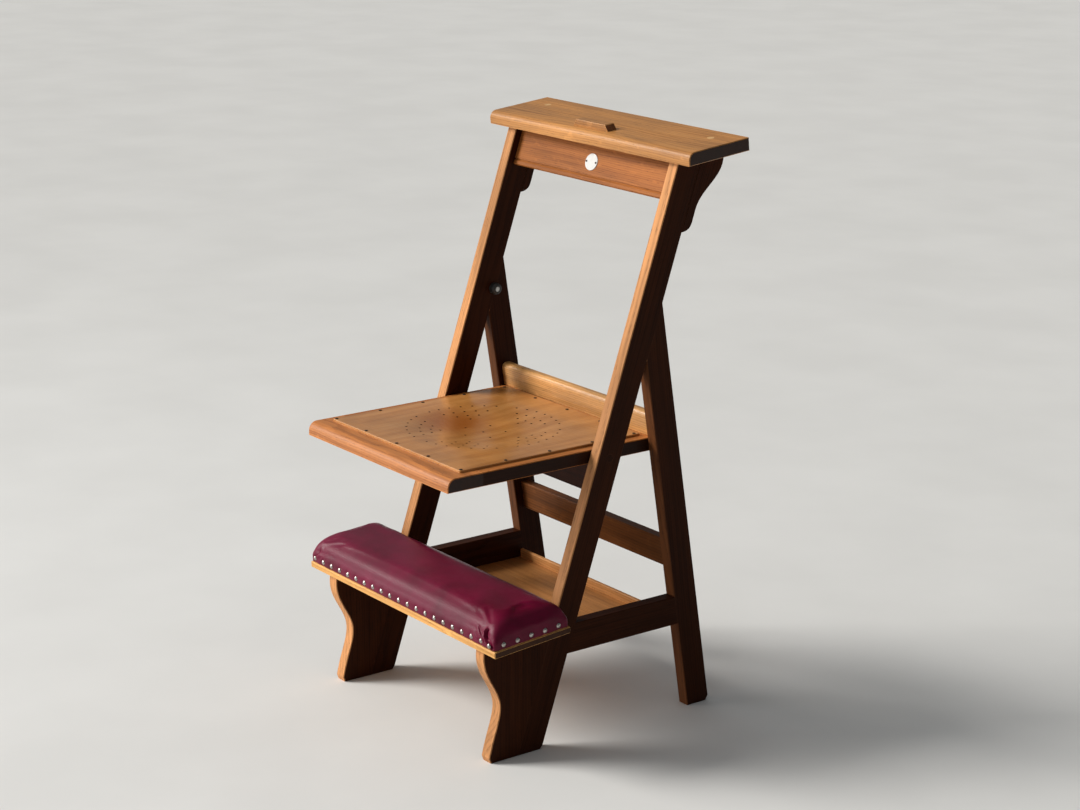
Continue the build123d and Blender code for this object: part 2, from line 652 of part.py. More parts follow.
def rounded_pad(inset):
    """Closed pad form with a rounded top, shrunk by inset on its sides and top."""
    width = 2 * (PAD_HALF_WIDTH - inset)
    depth = PAD_DEPTH - 2 * inset
    height = PAD_HEIGHT - inset
    pad = Box(width, depth, height)
    pad = fillet(pad.edges().filter_by(Axis.Z), PAD_CORNER_RADIUS)
    pad = fillet(pad.faces().sort_by(Axis.Z)[-1].edges(), PAD_EDGE_RADIUS - inset)
    return Pos(0, PAD_SETBACK + PAD_DEPTH / 2, height / 2) * pad


def nail_spots_local():
    """(x, y, outward direction) of every dome nail, in the kneeler board's own axes."""
    step = 2 * FRONT_NAIL_HALF_SPAN / (FRONT_NAILS - 1)
    front = [(i * step - FRONT_NAIL_HALF_SPAN, PAD_SETBACK, (0, -1, 0)) for i in range(FRONT_NAILS)]
    sides = []
    for s in SIDES.values():
        for i in range(SIDE_NAILS):
            y = PAD_SETBACK + SIDE_NAIL_FIRST + i * SIDE_NAIL_PITCH
            sides.append((s * PAD_HALF_WIDTH, y, (s, 0, 0)))
    return front + sides


def nail_shank(plane, radius, length):
    return extrude(plane.offset(-length) * Circle(radius), length)


def dome_nail(plane):
    """Upholstery nail with a domed head standing on the cover."""
    sphere_radius = (NAIL_HEAD_RADIUS ** 2 + NAIL_HEAD_HEIGHT ** 2) / (2 * NAIL_HEAD_HEIGHT)
    ball = Pos(0, 0, NAIL_HEAD_HEIGHT - sphere_radius) * Sphere(sphere_radius)
    head = ball & Pos(0, 0, NAIL_HEAD_RADIUS) * Box(*[2 * NAIL_HEAD_RADIUS] * 3)
    return plane.location * head + nail_shank(plane, NAIL_SHANK_RADIUS - GLUE_GAP, NAIL_SHANK_LENGTH)


def pad_base_board():
    board = Box(2 * (PAD_HALF_WIDTH - COVER_THICKNESS), PAD_DEPTH - 2 * COVER_THICKNESS, PAD_BOARD_THICKNESS)
    board = fillet(board.edges().filter_by(Axis.Z), PAD_CORNER_RADIUS)
    return Pos(0, PAD_SETBACK + PAD_DEPTH / 2, PAD_BOARD_THICKNESS / 2) * board


nail_planes = [Plane(origin=(x, y, NAIL_ROW_HEIGHT), z_dir=out) for x, y, out in nail_spots_local()]
shank_holes = [nail_shank(plane, NAIL_SHANK_RADIUS, NAIL_SHANK_LENGTH + END_GAP) for plane in nail_planes]
stuffing_form = rounded_pad(COVER_THICKNESS)
base_board = pad_base_board()
add("kneeler_board", kneeler_board())
add("pad_board", kneeler_place * (base_board - shank_holes) - pad_screw_holes)
add("pad_foam", kneeler_place * (stuffing_form - base_board))
add("pad_cover", kneeler_place * (rounded_pad(0) - [stuffing_form] - shank_holes))
add("upholstery_nails", Compound([kneeler_place * dome_nail(plane) for plane in nail_planes]))


# --- seat frame ------------------------------------------------------------------------------------------
seat_bottom = SEAT_TOP - SEAT_THICKNESS
front_rail_back = SEAT_FRONT_Y + SEAT_FRONT_RAIL_DEPTH
rear_rail_front = SEAT_BACK_Y - SEAT_REAR_RAIL_DEPTH
side_rail_inner = SEAT_HALF_WIDTH - SEAT_SIDE_RAIL_WIDTH


def block(x0, x1, y0, y1, z0, z1):
    return Pos((x0 + x1) / 2, (y0 + y1) / 2, (z0 + z1) / 2) * Box(x1 - x0, y1 - y0, z1 - z0)


def seat_blank():
    """Whole seat frame, eased all round, before it is cut into its four rails."""
    frame = block(-SEAT_HALF_WIDTH, SEAT_HALF_WIDTH, SEAT_FRONT_Y, SEAT_BACK_Y, seat_bottom, SEAT_TOP)
    front = frame.faces().sort_by(Axis.Y)[0].edges().filter_by(Axis.X).sort_by(Axis.Z)[-1]
    frame = fillet(front, SEAT_NOSE_RADIUS)
    for end in (0, -1):
        frame = chamfer(frame.faces().sort_by(Axis.X)[end].edges(), EASE)
    half = side_rail_inner
    return frame - block(-half, half, front_rail_back, rear_rail_front, seat_bottom, SEAT_TOP)


seat_cutter_boxes = {
    "seat_front_rail": (-SEAT_HALF_WIDTH, SEAT_HALF_WIDTH, SEAT_FRONT_Y, front_rail_back),
    "seat_rear_rail": (-side_rail_inner, side_rail_inner, rear_rail_front, SEAT_BACK_Y),
    "seat_right_rail": (side_rail_inner, SEAT_HALF_WIDTH, front_rail_back, SEAT_BACK_Y),
    "seat_left_rail": (-SEAT_HALF_WIDTH, -side_rail_inner, front_rail_back, SEAT_BACK_Y),
}
seat_middle_z = SEAT_TOP - SEAT_THICKNESS / 2
seat_dowel_places = []
for s in SIDES.values():
    for inset in (12.0, 33.0):
        x = s * (SEAT_HALF_WIDTH - inset)
        seat_dowel_places.append(((x, front_rail_back, seat_middle_z), (0, 1, 0)))
    for inset in (14.0, 42.0):
        seat_dowel_places.append(((s * side_rail_inner, SEAT_BACK_Y - inset, seat_middle_z), (1, 0, 0)))
seat_dowel_holes = [dowel(c, d, DOWEL_RADIUS, END_GAP) for c, d in seat_dowel_places]
add("seat_dowels", Compound([dowel(c, d, DOWEL_RADIUS - GLUE_GAP, 0) for c, d in seat_dowel_places]))


# --- seat panel: pressed perforated plywood, nailed round its edge -------------------------------------
def dish_profile(top):
    """Half section of one face: a shallow spherical hollow that an arc blends into the flat rim."""
    blend_radius = (DISH_RIM_RADIUS ** 2 + DISH_DEPTH ** 2) / (2 * DISH_DEPTH) - DISH_SPHERE_RADIUS
    sweep = math.asin(DISH_RIM_RADIUS / (DISH_SPHERE_RADIUS + blend_radius))

    def hollow(angle):
        drop = DISH_DEPTH - DISH_SPHERE_RADIUS * (1 - math.cos(angle))
        return (DISH_SPHERE_RADIUS * math.sin(angle), top - drop)

    def blend(angle):
        drop = blend_radius * (1 - math.cos(angle))
        return (DISH_RIM_RADIUS - blend_radius * math.sin(angle), top - drop)

    return [
        ThreePointArc(hollow(0), hollow(sweep / 2), hollow(sweep)),
        ThreePointArc(blend(sweep), blend(sweep / 2), blend(0)),
    ]


def perforations():
    spots = [(0.0, 0.0)]
    for leaf in range(5):
        leaf_angle = 90.0 + 72.0 * leaf
        spots.append((ROSETTE_RADIUS, leaf_angle + 36.0))
        for radius, count, step in LEAF_ROWS:
            start = leaf_angle - step * (count - 1) / 2
            spots += [(radius, start + step * i) for i in range(count)]
    holes = []
    for radius, angle in spots:
        x = radius * math.cos(math.radians(angle))
        y = DISH_CENTRE_Y + radius * math.sin(math.radians(angle))
        holes.append(Pos(x, y, SEAT_TOP - 2) * Cylinder(PERFORATION_RADIUS, 30))
    return holes


def seat_nail_spots():
    half = PANEL_HALF_WIDTH - SEAT_NAIL_INSET
    front = PANEL_FRONT_Y + SEAT_NAIL_INSET
    last = SEAT_NAILS_PER_SIDE - 1
    spots = []
    for i in range(SEAT_NAILS_PER_SIDE):
        for j in range(SEAT_NAILS_PER_SIDE):
            if i in (0, last) or j in (0, last):
                spots.append((-half + 2 * half * i / last, front + (SEAT_NAIL_BACK_Y - front) * j / last))
    return spots


def seat_nail_shank(x, y, radius):
    top = SEAT_TOP + PANEL_THICKNESS
    return rod((x, y, top - SEAT_NAIL_LENGTH), (x, y, top), radius)


def seat_nail(x, y):
    head = Cylinder(SEAT_NAIL_HEAD_RADIUS, SEAT_NAIL_HEAD_HEIGHT)
    head = fillet(head.faces().sort_by(Axis.Z)[-1].edges(), 0.6)
    head = Pos(x, y, SEAT_TOP + PANEL_THICKNESS + SEAT_NAIL_HEAD_HEIGHT / 2) * head
    return head + seat_nail_shank(x, y, SEAT_NAIL_SHANK_RADIUS - GLUE_GAP / 2)


def seat_panel():
    top = PANEL_THICKNESS
    centre_line = Line((0, -DISH_DEPTH), (0, top - DISH_DEPTH))
    rim_line = Line((DISH_RIM_RADIUS, top), (DISH_RIM_RADIUS, 0))
    section = make_face(Curve() + dish_profile(top) + dish_profile(0.0) + [centre_line, rim_line])
    dish = Pos(0, DISH_CENTRE_Y, SEAT_TOP) * revolve(Plane.XZ * section, Axis.Z)
    sheet = block(-PANEL_HALF_WIDTH, PANEL_HALF_WIDTH, PANEL_FRONT_Y, PANEL_BACK_Y, SEAT_TOP, SEAT_TOP + top)
    sheet = fillet(sheet.edges().filter_by(Axis.Z), 3.0)
    sheet = chamfer(sheet.faces().sort_by(Axis.Z)[-1].edges(), 0.8)
    sheet -= Pos(0, DISH_CENTRE_Y, SEAT_TOP) * Cylinder(DISH_RIM_RADIUS, 20)
    return (sheet + dish) - (perforations() + seat_nail_holes)


seat_nail_holes = [seat_nail_shank(x, y, SEAT_NAIL_SHANK_RADIUS) for x, y in seat_nail_spots()]
add("seat_panel", seat_panel())
add("seat_panel_nails", Compound([seat_nail(x, y) for x, y in seat_nail_spots()]))


# --- seat bearer under the pivots ------------------------------------------------------------------------
bearer_screw_y = BEARER_FRONT_Y + STOCK / 2
counterbore_top = BEARER_BOTTOM + BEARER_COUNTERBORE_DEPTH


def bearer_rod(side, low, high, radius):
    x = side * BEARER_SCREW_X
    return rod((x, bearer_screw_y, low), (x, bearer_screw_y, high), radius)


def bearer_screw(side, trim):
    """Screw up through the bearer into the seat's side rail."""
    shank = bearer_rod(side, counterbore_top, SEAT_TOP - 6.0, SCREW_RADIUS - trim)
    return shank + bearer_rod(side, counterbore_top - 2.5, counterbore_top, SCREW_RADIUS * 2 - 0.2)


bearer_screws = [bearer_screw(side, GLUE_GAP) for side in SIDES.values()]
bearer_holes = [bearer_screw(side, 0) for side in SIDES.values()]
bearer_counterbores = [
    bearer_rod(side, BEARER_BOTTOM, counterbore_top, BEARER_COUNTERBORE_RADIUS) for side in SIDES.values()
]
bearer = block(-BEARER_HALF_LENGTH, BEARER_HALF_LENGTH, BEARER_FRONT_Y, BEARER_FRONT_Y + STOCK,
               BEARER_BOTTOM, seat_bottom)
bearer = chamfer(bearer.faces().sort_by(Axis.Z)[0].edges(), EASE)
add("seat_bearer", bearer - (bearer_holes + bearer_counterbores))
add("seat_bearer_screws", Compound(bearer_screws))

seat_frame = seat_blank()
seat_holes = seat_dowel_holes + seat_nail_holes + bearer_holes + with_mirror([bush_hole])
for name, (x0, x1, y0, y1) in seat_cutter_boxes.items():
    cutter = block(x0, x1, y0, y1, seat_bottom, SEAT_TOP)
    add(name, (seat_frame & cutter) - seat_holes)

# --- write one STEP per node -------------------------------------------------------------------------------
for name, shape in nodes.items():
    export_step(shape, "parts/" + name + ".step")
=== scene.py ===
import json
import math
import random

import bmesh
import bpy
import numpy as np
from mathutils import Matrix, Vector
from mathutils.bvhtree import BVHTree


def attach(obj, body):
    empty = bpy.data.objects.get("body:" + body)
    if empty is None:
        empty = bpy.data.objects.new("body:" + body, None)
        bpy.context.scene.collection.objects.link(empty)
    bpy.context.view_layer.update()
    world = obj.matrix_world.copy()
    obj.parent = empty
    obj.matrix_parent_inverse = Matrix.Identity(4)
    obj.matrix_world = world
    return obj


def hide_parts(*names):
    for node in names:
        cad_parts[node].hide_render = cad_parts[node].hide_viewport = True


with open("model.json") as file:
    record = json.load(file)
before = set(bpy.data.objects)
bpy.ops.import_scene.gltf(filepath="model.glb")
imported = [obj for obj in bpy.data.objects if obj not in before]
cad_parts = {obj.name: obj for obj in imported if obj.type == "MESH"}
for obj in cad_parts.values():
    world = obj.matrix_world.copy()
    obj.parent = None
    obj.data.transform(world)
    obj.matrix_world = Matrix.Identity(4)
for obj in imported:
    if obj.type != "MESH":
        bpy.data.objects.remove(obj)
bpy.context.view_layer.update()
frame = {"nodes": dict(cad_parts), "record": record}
NODES = frame["nodes"]
RECORD = frame["record"]
MM = 0.001
ALONG_X = Vector((1, 0, 0))
ALONG_Y = Vector((0, 1, 0))
ALONG_Z = Vector((0, 0, 1))

# --- camera ------------------------------------------------------------------------------------
CAMERA_AT = (2.9204, -2.1595, 1.4835)
CAMERA_YAW = math.radians(52.845)
CAMERA_PITCH = math.radians(15.528)
CAMERA_ROLL = math.radians(-0.405)
CAMERA_LENS = 81.41
SENSOR_WIDTH = 36.0


def link(name, data):
    """New object in the scene that holds the given data."""
    made = bpy.data.objects.new(name, data)
    bpy.context.scene.collection.objects.link(made)
    return made


def make_camera():
    data = bpy.data.cameras.new("camera")
    data.lens = CAMERA_LENS
    data.sensor_width = SENSOR_WIDTH
    data.sensor_fit = "HORIZONTAL"
    camera = link("camera", data)
    level = math.cos(CAMERA_PITCH)
    ahead = Vector((-math.sin(CAMERA_YAW) * level, math.cos(CAMERA_YAW) * level,
                    -math.sin(CAMERA_PITCH)))
    right = Vector((math.cos(CAMERA_YAW), math.sin(CAMERA_YAW), 0))
    down = ahead.cross(right)
    turned_right = math.cos(CAMERA_ROLL) * right + math.sin(CAMERA_ROLL) * down
    turned_down = math.cos(CAMERA_ROLL) * down - math.sin(CAMERA_ROLL) * right
    turn = Matrix((turned_right, -turned_down, -ahead)).transposed().to_4x4()
    camera.matrix_world = Matrix.Translation(CAMERA_AT) @ turn
    bpy.context.scene.camera = camera


# --- light and floor ---------------------------------------------------------------------------
FLOOR_RADIUS = 22.0
LOOKED_AT = Vector((0, 0, 0.45))
KEY_FROM = Vector((-0.60, -0.60, 0.53))
KEY_AWAY = 3
KEY_STRENGTH = 3.4
KEY_SPREAD = math.radians(24)
KEY_TINT = (1.0, 0.975, 0.93)
WINDOW_AT = Vector((-1.9, -2.8, 0.85))
WINDOW_WIDTH = 1.5
WINDOW_HEIGHT = 1.9
WINDOW_POWER = 48
SKY_DIM = (0.135, 0.140, 0.145)
SKY_BRIGHT = (0.46, 0.47, 0.47)
SKY_BRIGHT_FROM = 0.8


def place_light(name, kind, at):
    """Light at a place, turned to the object; returns its settings."""
    data = bpy.data.lights.new(name, kind)
    light = link(name, data)
    light.location = at
    light.rotation_euler = (LOOKED_AT - at).to_track_quat("-Z", "Y").to_euler()
    return data


def make_lights():
    key = place_light("key", "SUN", LOOKED_AT + KEY_AWAY * KEY_FROM)
    key.energy = KEY_STRENGTH
    key.angle = KEY_SPREAD
    key.color = KEY_TINT
    window = place_light("window", "AREA", WINDOW_AT)
    window.shape = "RECTANGLE"
    window.size = WINDOW_WIDTH
    window.size_y = WINDOW_HEIGHT
    window.energy = WINDOW_POWER
    bpy.context.scene.view_settings.view_transform = "Standard"


def make_sky():
    """World light that is bright on the key light's side and dim opposite it."""
    world = bpy.data.worlds.new("pale_studio")
    bpy.context.scene.world = world
    world.use_nodes = True
    sky = world.node_tree.nodes
    background = sky["Background"]
    direction = sky.new("ShaderNodeTexCoord").outputs["Generated"]
    towards_key = sky.new("ShaderNodeVectorMath")
    towards_key.operation = "DOT_PRODUCT"
    towards_key.inputs[1].default_value = KEY_FROM.normalized()
    brightness = sky.new("ShaderNodeValToRGB")
    for element, colour in zip(brightness.color_ramp.elements, (SKY_DIM, SKY_BRIGHT)):
        element.color = (*colour, 1)
    brightness.color_ramp.elements[0].position = 0.0
    brightness.color_ramp.elements[1].position = SKY_BRIGHT_FROM
    join = world.node_tree.links.new
    join(direction, towards_key.inputs[0])
    join(towards_key.outputs["Value"], brightness.inputs[0])
    join(brightness.outputs[0], background.inputs["Color"])
    background.inputs["Strength"].default_value = 1.0


def make_floor():
    mesh = bpy.data.meshes.new("floor")
    r = FLOOR_RADIUS
    mesh.from_pydata([(-r, -r, 0), (r, -r, 0), (r, r, 0), (-r, r, 0)], [], [(0, 1, 2, 3)])
    floor = link("floor", mesh)
    shader = Shader("pale_floor")
    mottle = shader.noise(shader.coordinates(), 3.0, 4.0, 0.5)
    colour = shader.ramp(mottle, [(0.35, (0.700, 0.695, 0.680)), (0.65, (0.735, 0.730, 0.715))])
    shader.surface(colour, roughness=0.8, specular=0.2)
    mesh.materials.append(shader.material)


# --- shader building ---------------------------------------------------------------------------
class Shader:
    """A node material put together by short calls; a socket or a plain value goes in anywhere."""

    def __init__(self, name):
        self.material = bpy.data.materials.new(name)
        self.material.use_nodes = True
        self.tree = self.material.node_tree
        self.tree.nodes.clear()
        self.output = self.tree.nodes.new("ShaderNodeOutputMaterial")

    def node(self, kind, **settings):
        made = self.tree.nodes.new("ShaderNode" + kind)
        for key, value in settings.items():
            setattr(made, key, value)
        return made

    def feed(self, socket, value):
        if isinstance(value, bpy.types.NodeSocket):
            self.tree.links.new(value, socket)
        elif isinstance(value, tuple) and len(value) == 3 and len(socket.default_value) == 4:
            socket.default_value = (*value, 1)
        else:
            socket.default_value = value

    def coordinates(self):
        return self.node("TexCoord").outputs["Object"]

    def normal(self):
        return self.node("TexCoord").outputs["Normal"]

    def math(self, operation, a, b=0.0, clamp=False):
        made = self.node("Math", operation=operation, use_clamp=clamp)
        self.feed(made.inputs[0], a)
        self.feed(made.inputs[1], b)
        return made.outputs[0]

    def vector(self, operation, a, b=(0.0, 0.0, 0.0), out="Vector"):
        made = self.node("VectorMath", operation=operation)
        self.feed(made.inputs[0], a)
        self.feed(made.inputs[1], b)
        return made.outputs[out]

    def dot(self, a, b):
        return self.vector("DOT_PRODUCT", a, b, out="Value")

    def distance(self, a, b):
        return self.vector("LENGTH", self.vector("SUBTRACT", a, b), out="Value")

    def combine(self, x, y, z):
        made = self.node("CombineXYZ")
        for socket, value in zip(made.inputs, (x, y, z)):
            self.feed(socket, value)
        return made.outputs[0]

    def noise(self, vector, scale, detail=2.0, roughness=0.5, distortion=0.0):
        made = self.node("TexNoise")
        self.feed(made.inputs["Vector"], vector)
        made.inputs["Scale"].default_value = scale
        made.inputs["Detail"].default_value = detail
        made.inputs["Roughness"].default_value = roughness
        made.inputs["Distortion"].default_value = distortion
        return made.outputs["Fac"]

    def cell_edges(self, vector, scale):
        """Distance to the nearest border between Voronoi cells."""
        made = self.node("TexVoronoi", feature="DISTANCE_TO_EDGE")
        self.feed(made.inputs["Vector"], vector)
        made.inputs["Scale"].default_value = scale
        return made.outputs["Distance"]

    def between(self, value, low, high, to_low=0.0, to_high=1.0):
        """Smooth step of value from low..high to to_low..to_high."""
        made = self.node("MapRange", interpolation_type="SMOOTHSTEP")
        for socket, item in zip(made.inputs, (value, low, high, to_low, to_high)):
            self.feed(socket, item)
        return made.outputs[0]

    def ramp(self, fac, stops):
        made = self.node("ValToRGB")
        elements = made.color_ramp.elements
        while len(elements) < len(stops):
            elements.new(0.5)
        for element, (position, colour) in zip(elements, stops):
            element.position = position
            element.color = (*colour, 1)
        self.feed(made.inputs[0], fac)
        return made.outputs[0]

    def mix(self, fac, a, b, blend="MIX"):
        made = self.node("Mix", data_type="RGBA", blend_type=blend)
        self.feed(made.inputs[0], fac)
        self.feed(made.inputs[6], a)
        self.feed(made.inputs[7], b)
        return made.outputs[2]

    def shaded(self, colour, shade):
        """The colour multiplied by one grey value."""
        return self.mix(1.0, colour, self.combine(shade, shade, shade), "MULTIPLY")

    def bump(self, height, distance, strength):
        made = self.node("Bump")
        made.inputs["Strength"].default_value = strength
        made.inputs["Distance"].default_value = distance
        self.feed(made.inputs["Height"], height)
        return made.outputs[0]

    def edges(self, radius):
        """1 on sharp edges and 0 on flat faces, by comparing a rounded normal with the real one."""
        rounded = self.node("Bevel", samples=4)
        rounded.inputs["Radius"].default_value = radius
        true_normal = self.node("NewGeometry").outputs["Normal"]
        return self.math("SUBTRACT", 1.0, self.dot(rounded.outputs[0], true_normal), clamp=True)

    def surface(self, colour, roughness, normal=None, metallic=0.0, specular=0.5, coat=0.0,
                coat_roughness=0.2):
        made = self.node("BsdfPrincipled")
        self.feed(made.inputs["Base Color"], colour)
        self.feed(made.inputs["Roughness"], roughness)
        made.inputs["Metallic"].default_value = metallic
        made.inputs["Specular IOR Level"].default_value = specular
        made.inputs["Coat Weight"].default_value = coat
        made.inputs["Coat Roughness"].default_value = coat_roughness
        if normal is not None:
            self.feed(made.inputs["Normal"], normal)
            self.feed(made.inputs["Coat Normal"], normal)
        self.tree.links.new(made.outputs[0], self.output.inputs["Surface"])


# --- oak ---------------------------------------------------------------------------------------
# the faces that look this way get oak's paler front colour: painted light
TOWARDS_KNEELER = (0.0, -1.0, 0.0)
# how far each piece's wood is shifted from its neighbours', in metres
GRAIN_SHIFT = 0.7
# how closely each figure of the wood repeats along, across and through the grain, per metre
RING_WANDER = (2.2, 9, 9)
STREAKS = (3.5, 160, 160)
PORES = (85, 1500, 1500)
STAIN = (4.0, 22, 22)
RAY_FLECKS = (60, 420, 50)
# where the heart of the tree lies, and how much its rings wander, in metres
HEART_ACROSS = (0.03, 0.10)
HEART_BELOW = (-0.12, -0.06)
HEART_SEEDS_FROM = 100
RING_BEND = 0.028
# how strongly each figure shows
RING_SHARE = 0.34
STREAK_SHARE = 0.46
PORE_SHARE = 0.75
EDGE_WEAR = 0.5
OAK_EDGE = 1.6 * MM


def tinted(colour, share):
    """The colour times a share, kept at or under 1."""
    return tuple(min(1.0, share * part) for part in colour)


def grain_space(shader, along, seed):
    """Object coordinates turned so that the first runs along the grain, shifted for each piece."""
    across = Vector((0, along.z, -along.y)) if along.x == 0 else ALONG_Y
    through = along.cross(across)
    shift = random.Random(seed)
    moved = tuple(shift.uniform(-GRAIN_SHIFT, GRAIN_SHIFT) for _ in range(3))
    here = shader.vector("ADD", shader.coordinates(), moved)
    return [shader.dot(here, tuple(axis)) for axis in (along, across, through)]


def stretched(shader, grain, scales):
    parts = [shader.math("MULTIPLY", part, scale) for part, scale in zip(grain, scales)]
    return shader.combine(*parts)


def oak(name, along, body, dark, seed, front=None, sides=None, ring=3.4, varnish=0.25,
        flecked=0.3, gloss=0.3):
    """Stained oak: growth rings, pores, ray flecks, uneven stain, handled edges and satin varnish.

    body and dark are the colours between and in the rings, which are ring millimetres apart. front
    is a paler colour painted on the faces that look towards the kneeler: painted light, for the
    light that falls on them. sides is a darker colour painted on the faces that look along x:
    painted shade, which on pieces whose grain runs along x is also end grain that took the stain
    deeper.
    """
    shader = Shader(name)
    grain = grain_space(shader, along, seed)
    shift = random.Random(seed + HEART_SEEDS_FROM)
    wander = shader.noise(stretched(shader, grain, RING_WANDER), 1.0, 3.0, 0.55)
    heart = [shader.math("SUBTRACT", grain[1], shift.uniform(*HEART_ACROSS)),
             shader.math("SUBTRACT", grain[2], shift.uniform(*HEART_BELOW))]
    distance = shader.vector("LENGTH", shader.combine(0.0, *heart), out="Value")
    bent = shader.math("ADD", distance, shader.math("MULTIPLY", wander, RING_BEND))
    turns = shader.math("FRACT", shader.math("DIVIDE", bent, ring * MM))
    early_wood = shader.between(turns, 0.0, 0.62, 1.0, 0.0)
    streaks = shader.noise(stretched(shader, grain, STREAKS), 1.0, 4.0, 0.6)
    pores = shader.noise(stretched(shader, grain, PORES), 1.0, 2.0, 0.55)
    open_pores = shader.math("MULTIPLY", shader.between(pores, 0.56, 0.66), early_wood)
    stain = shader.noise(stretched(shader, grain, STAIN), 1.0, 3.0, 0.6)

    rings = shader.math("MULTIPLY", early_wood, RING_SHARE)
    lines = shader.math("MULTIPLY", shader.between(streaks, 0.42, 0.68), STREAK_SHARE)
    figure = shader.math("ADD", rings, lines, clamp=True)
    colour = shader.mix(figure, body, dark)
    if flecked:
        flecks = shader.noise(stretched(shader, grain, RAY_FLECKS), 1.0, 1.0, 0.4)
        share = shader.math("MULTIPLY", shader.between(flecks, 0.62, 0.76), flecked)
        colour = shader.mix(share, colour, tinted(body, 1.45))
    normal = shader.normal()
    # painted light: the faces that look towards the kneeler get the paler front colour
    if front is not None:
        pale = shader.mix(figure, front, tinted(front, 0.55))
        facing = shader.dot(normal, TOWARDS_KNEELER)
        colour = shader.mix(shader.between(facing, 0.45, 0.85), colour, pale)
    filled = shader.math("MULTIPLY", open_pores, PORE_SHARE)
    colour = shader.mix(filled, colour, tinted(dark, 0.30))
    rubbed = shader.between(shader.noise(shader.coordinates(), 30.0, 3.0, 0.6), 0.40, 0.62)
    edge = shader.math("MULTIPLY", shader.between(shader.edges(OAK_EDGE), 0.02, 0.14), rubbed)
    bare = tuple(min(1.0, 1.9 * part + 0.02) for part in body)
    colour = shader.mix(shader.math("MULTIPLY", edge, EDGE_WEAR), colour, bare)
    # painted shade: the faces that look along x get the darker sides colour; on cross pieces this
    # is also the end grain's deeper stain
    if sides is not None:
        deep = shader.mix(figure, sides, tinted(sides, 0.5))
        facing = shader.math("ABSOLUTE", shader.dot(normal, tuple(ALONG_X)))
        colour = shader.mix(shader.between(facing, 0.60, 0.92), colour, deep)
    colour = shader.shaded(colour, shader.between(stain, 0.25, 0.75, 0.74, 1.20))

    height = shader.math("SUBTRACT", shader.math("MULTIPLY", streaks, 0.35), open_pores)
    bumped = shader.bump(height, 0.12 * MM, 0.5)
    roughness = shader.between(stain, 0.2, 0.8, 0.38, 0.52)
    roughness = shader.math("ADD", roughness, shader.math("MULTIPLY", edge, 0.15))
    shader.surface(colour, roughness, bumped, specular=gloss, coat=varnish, coat_roughness=0.25)
    return shader.material


# --- the seat's plywood --------------------------------------------------------------------------
FACE_FIGURE = (5, 60, 60)
FACE_FIBRE = (30, 900, 900)
SCUFFS = (260, 40, 40)
PLYWOOD_SEED = 41
# the amber patch, a painted reflection of the dark rails in the varnish: where its middle is from
# that of the dish, and where it starts and stops fading
DISH_TO_PATCH = Vector((-0.060, -0.013, 0))
PATCH_INNER = 0.030
PATCH_OUTER = 0.095
# distances from the middle of the dish, in metres
PERFORATED_TO = 0.128
MARGIN_FROM = 0.134
PLYWOOD_EDGE = 1.2 * MM
# painted reflection: the amber of the patch where the varnish mirrors the dark rails
REFLECTION_AMBER = (0.300, 0.078, 0.004)
BARE_EDGE = (0.62, 0.36, 0.16)
# painted shade: the dark colours of the holes' rims and walls
HOLE_RIM_SHADE = (0.055, 0.018, 0.005)
HOLE_WALL_SHADE = (0.018, 0.006, 0.002)


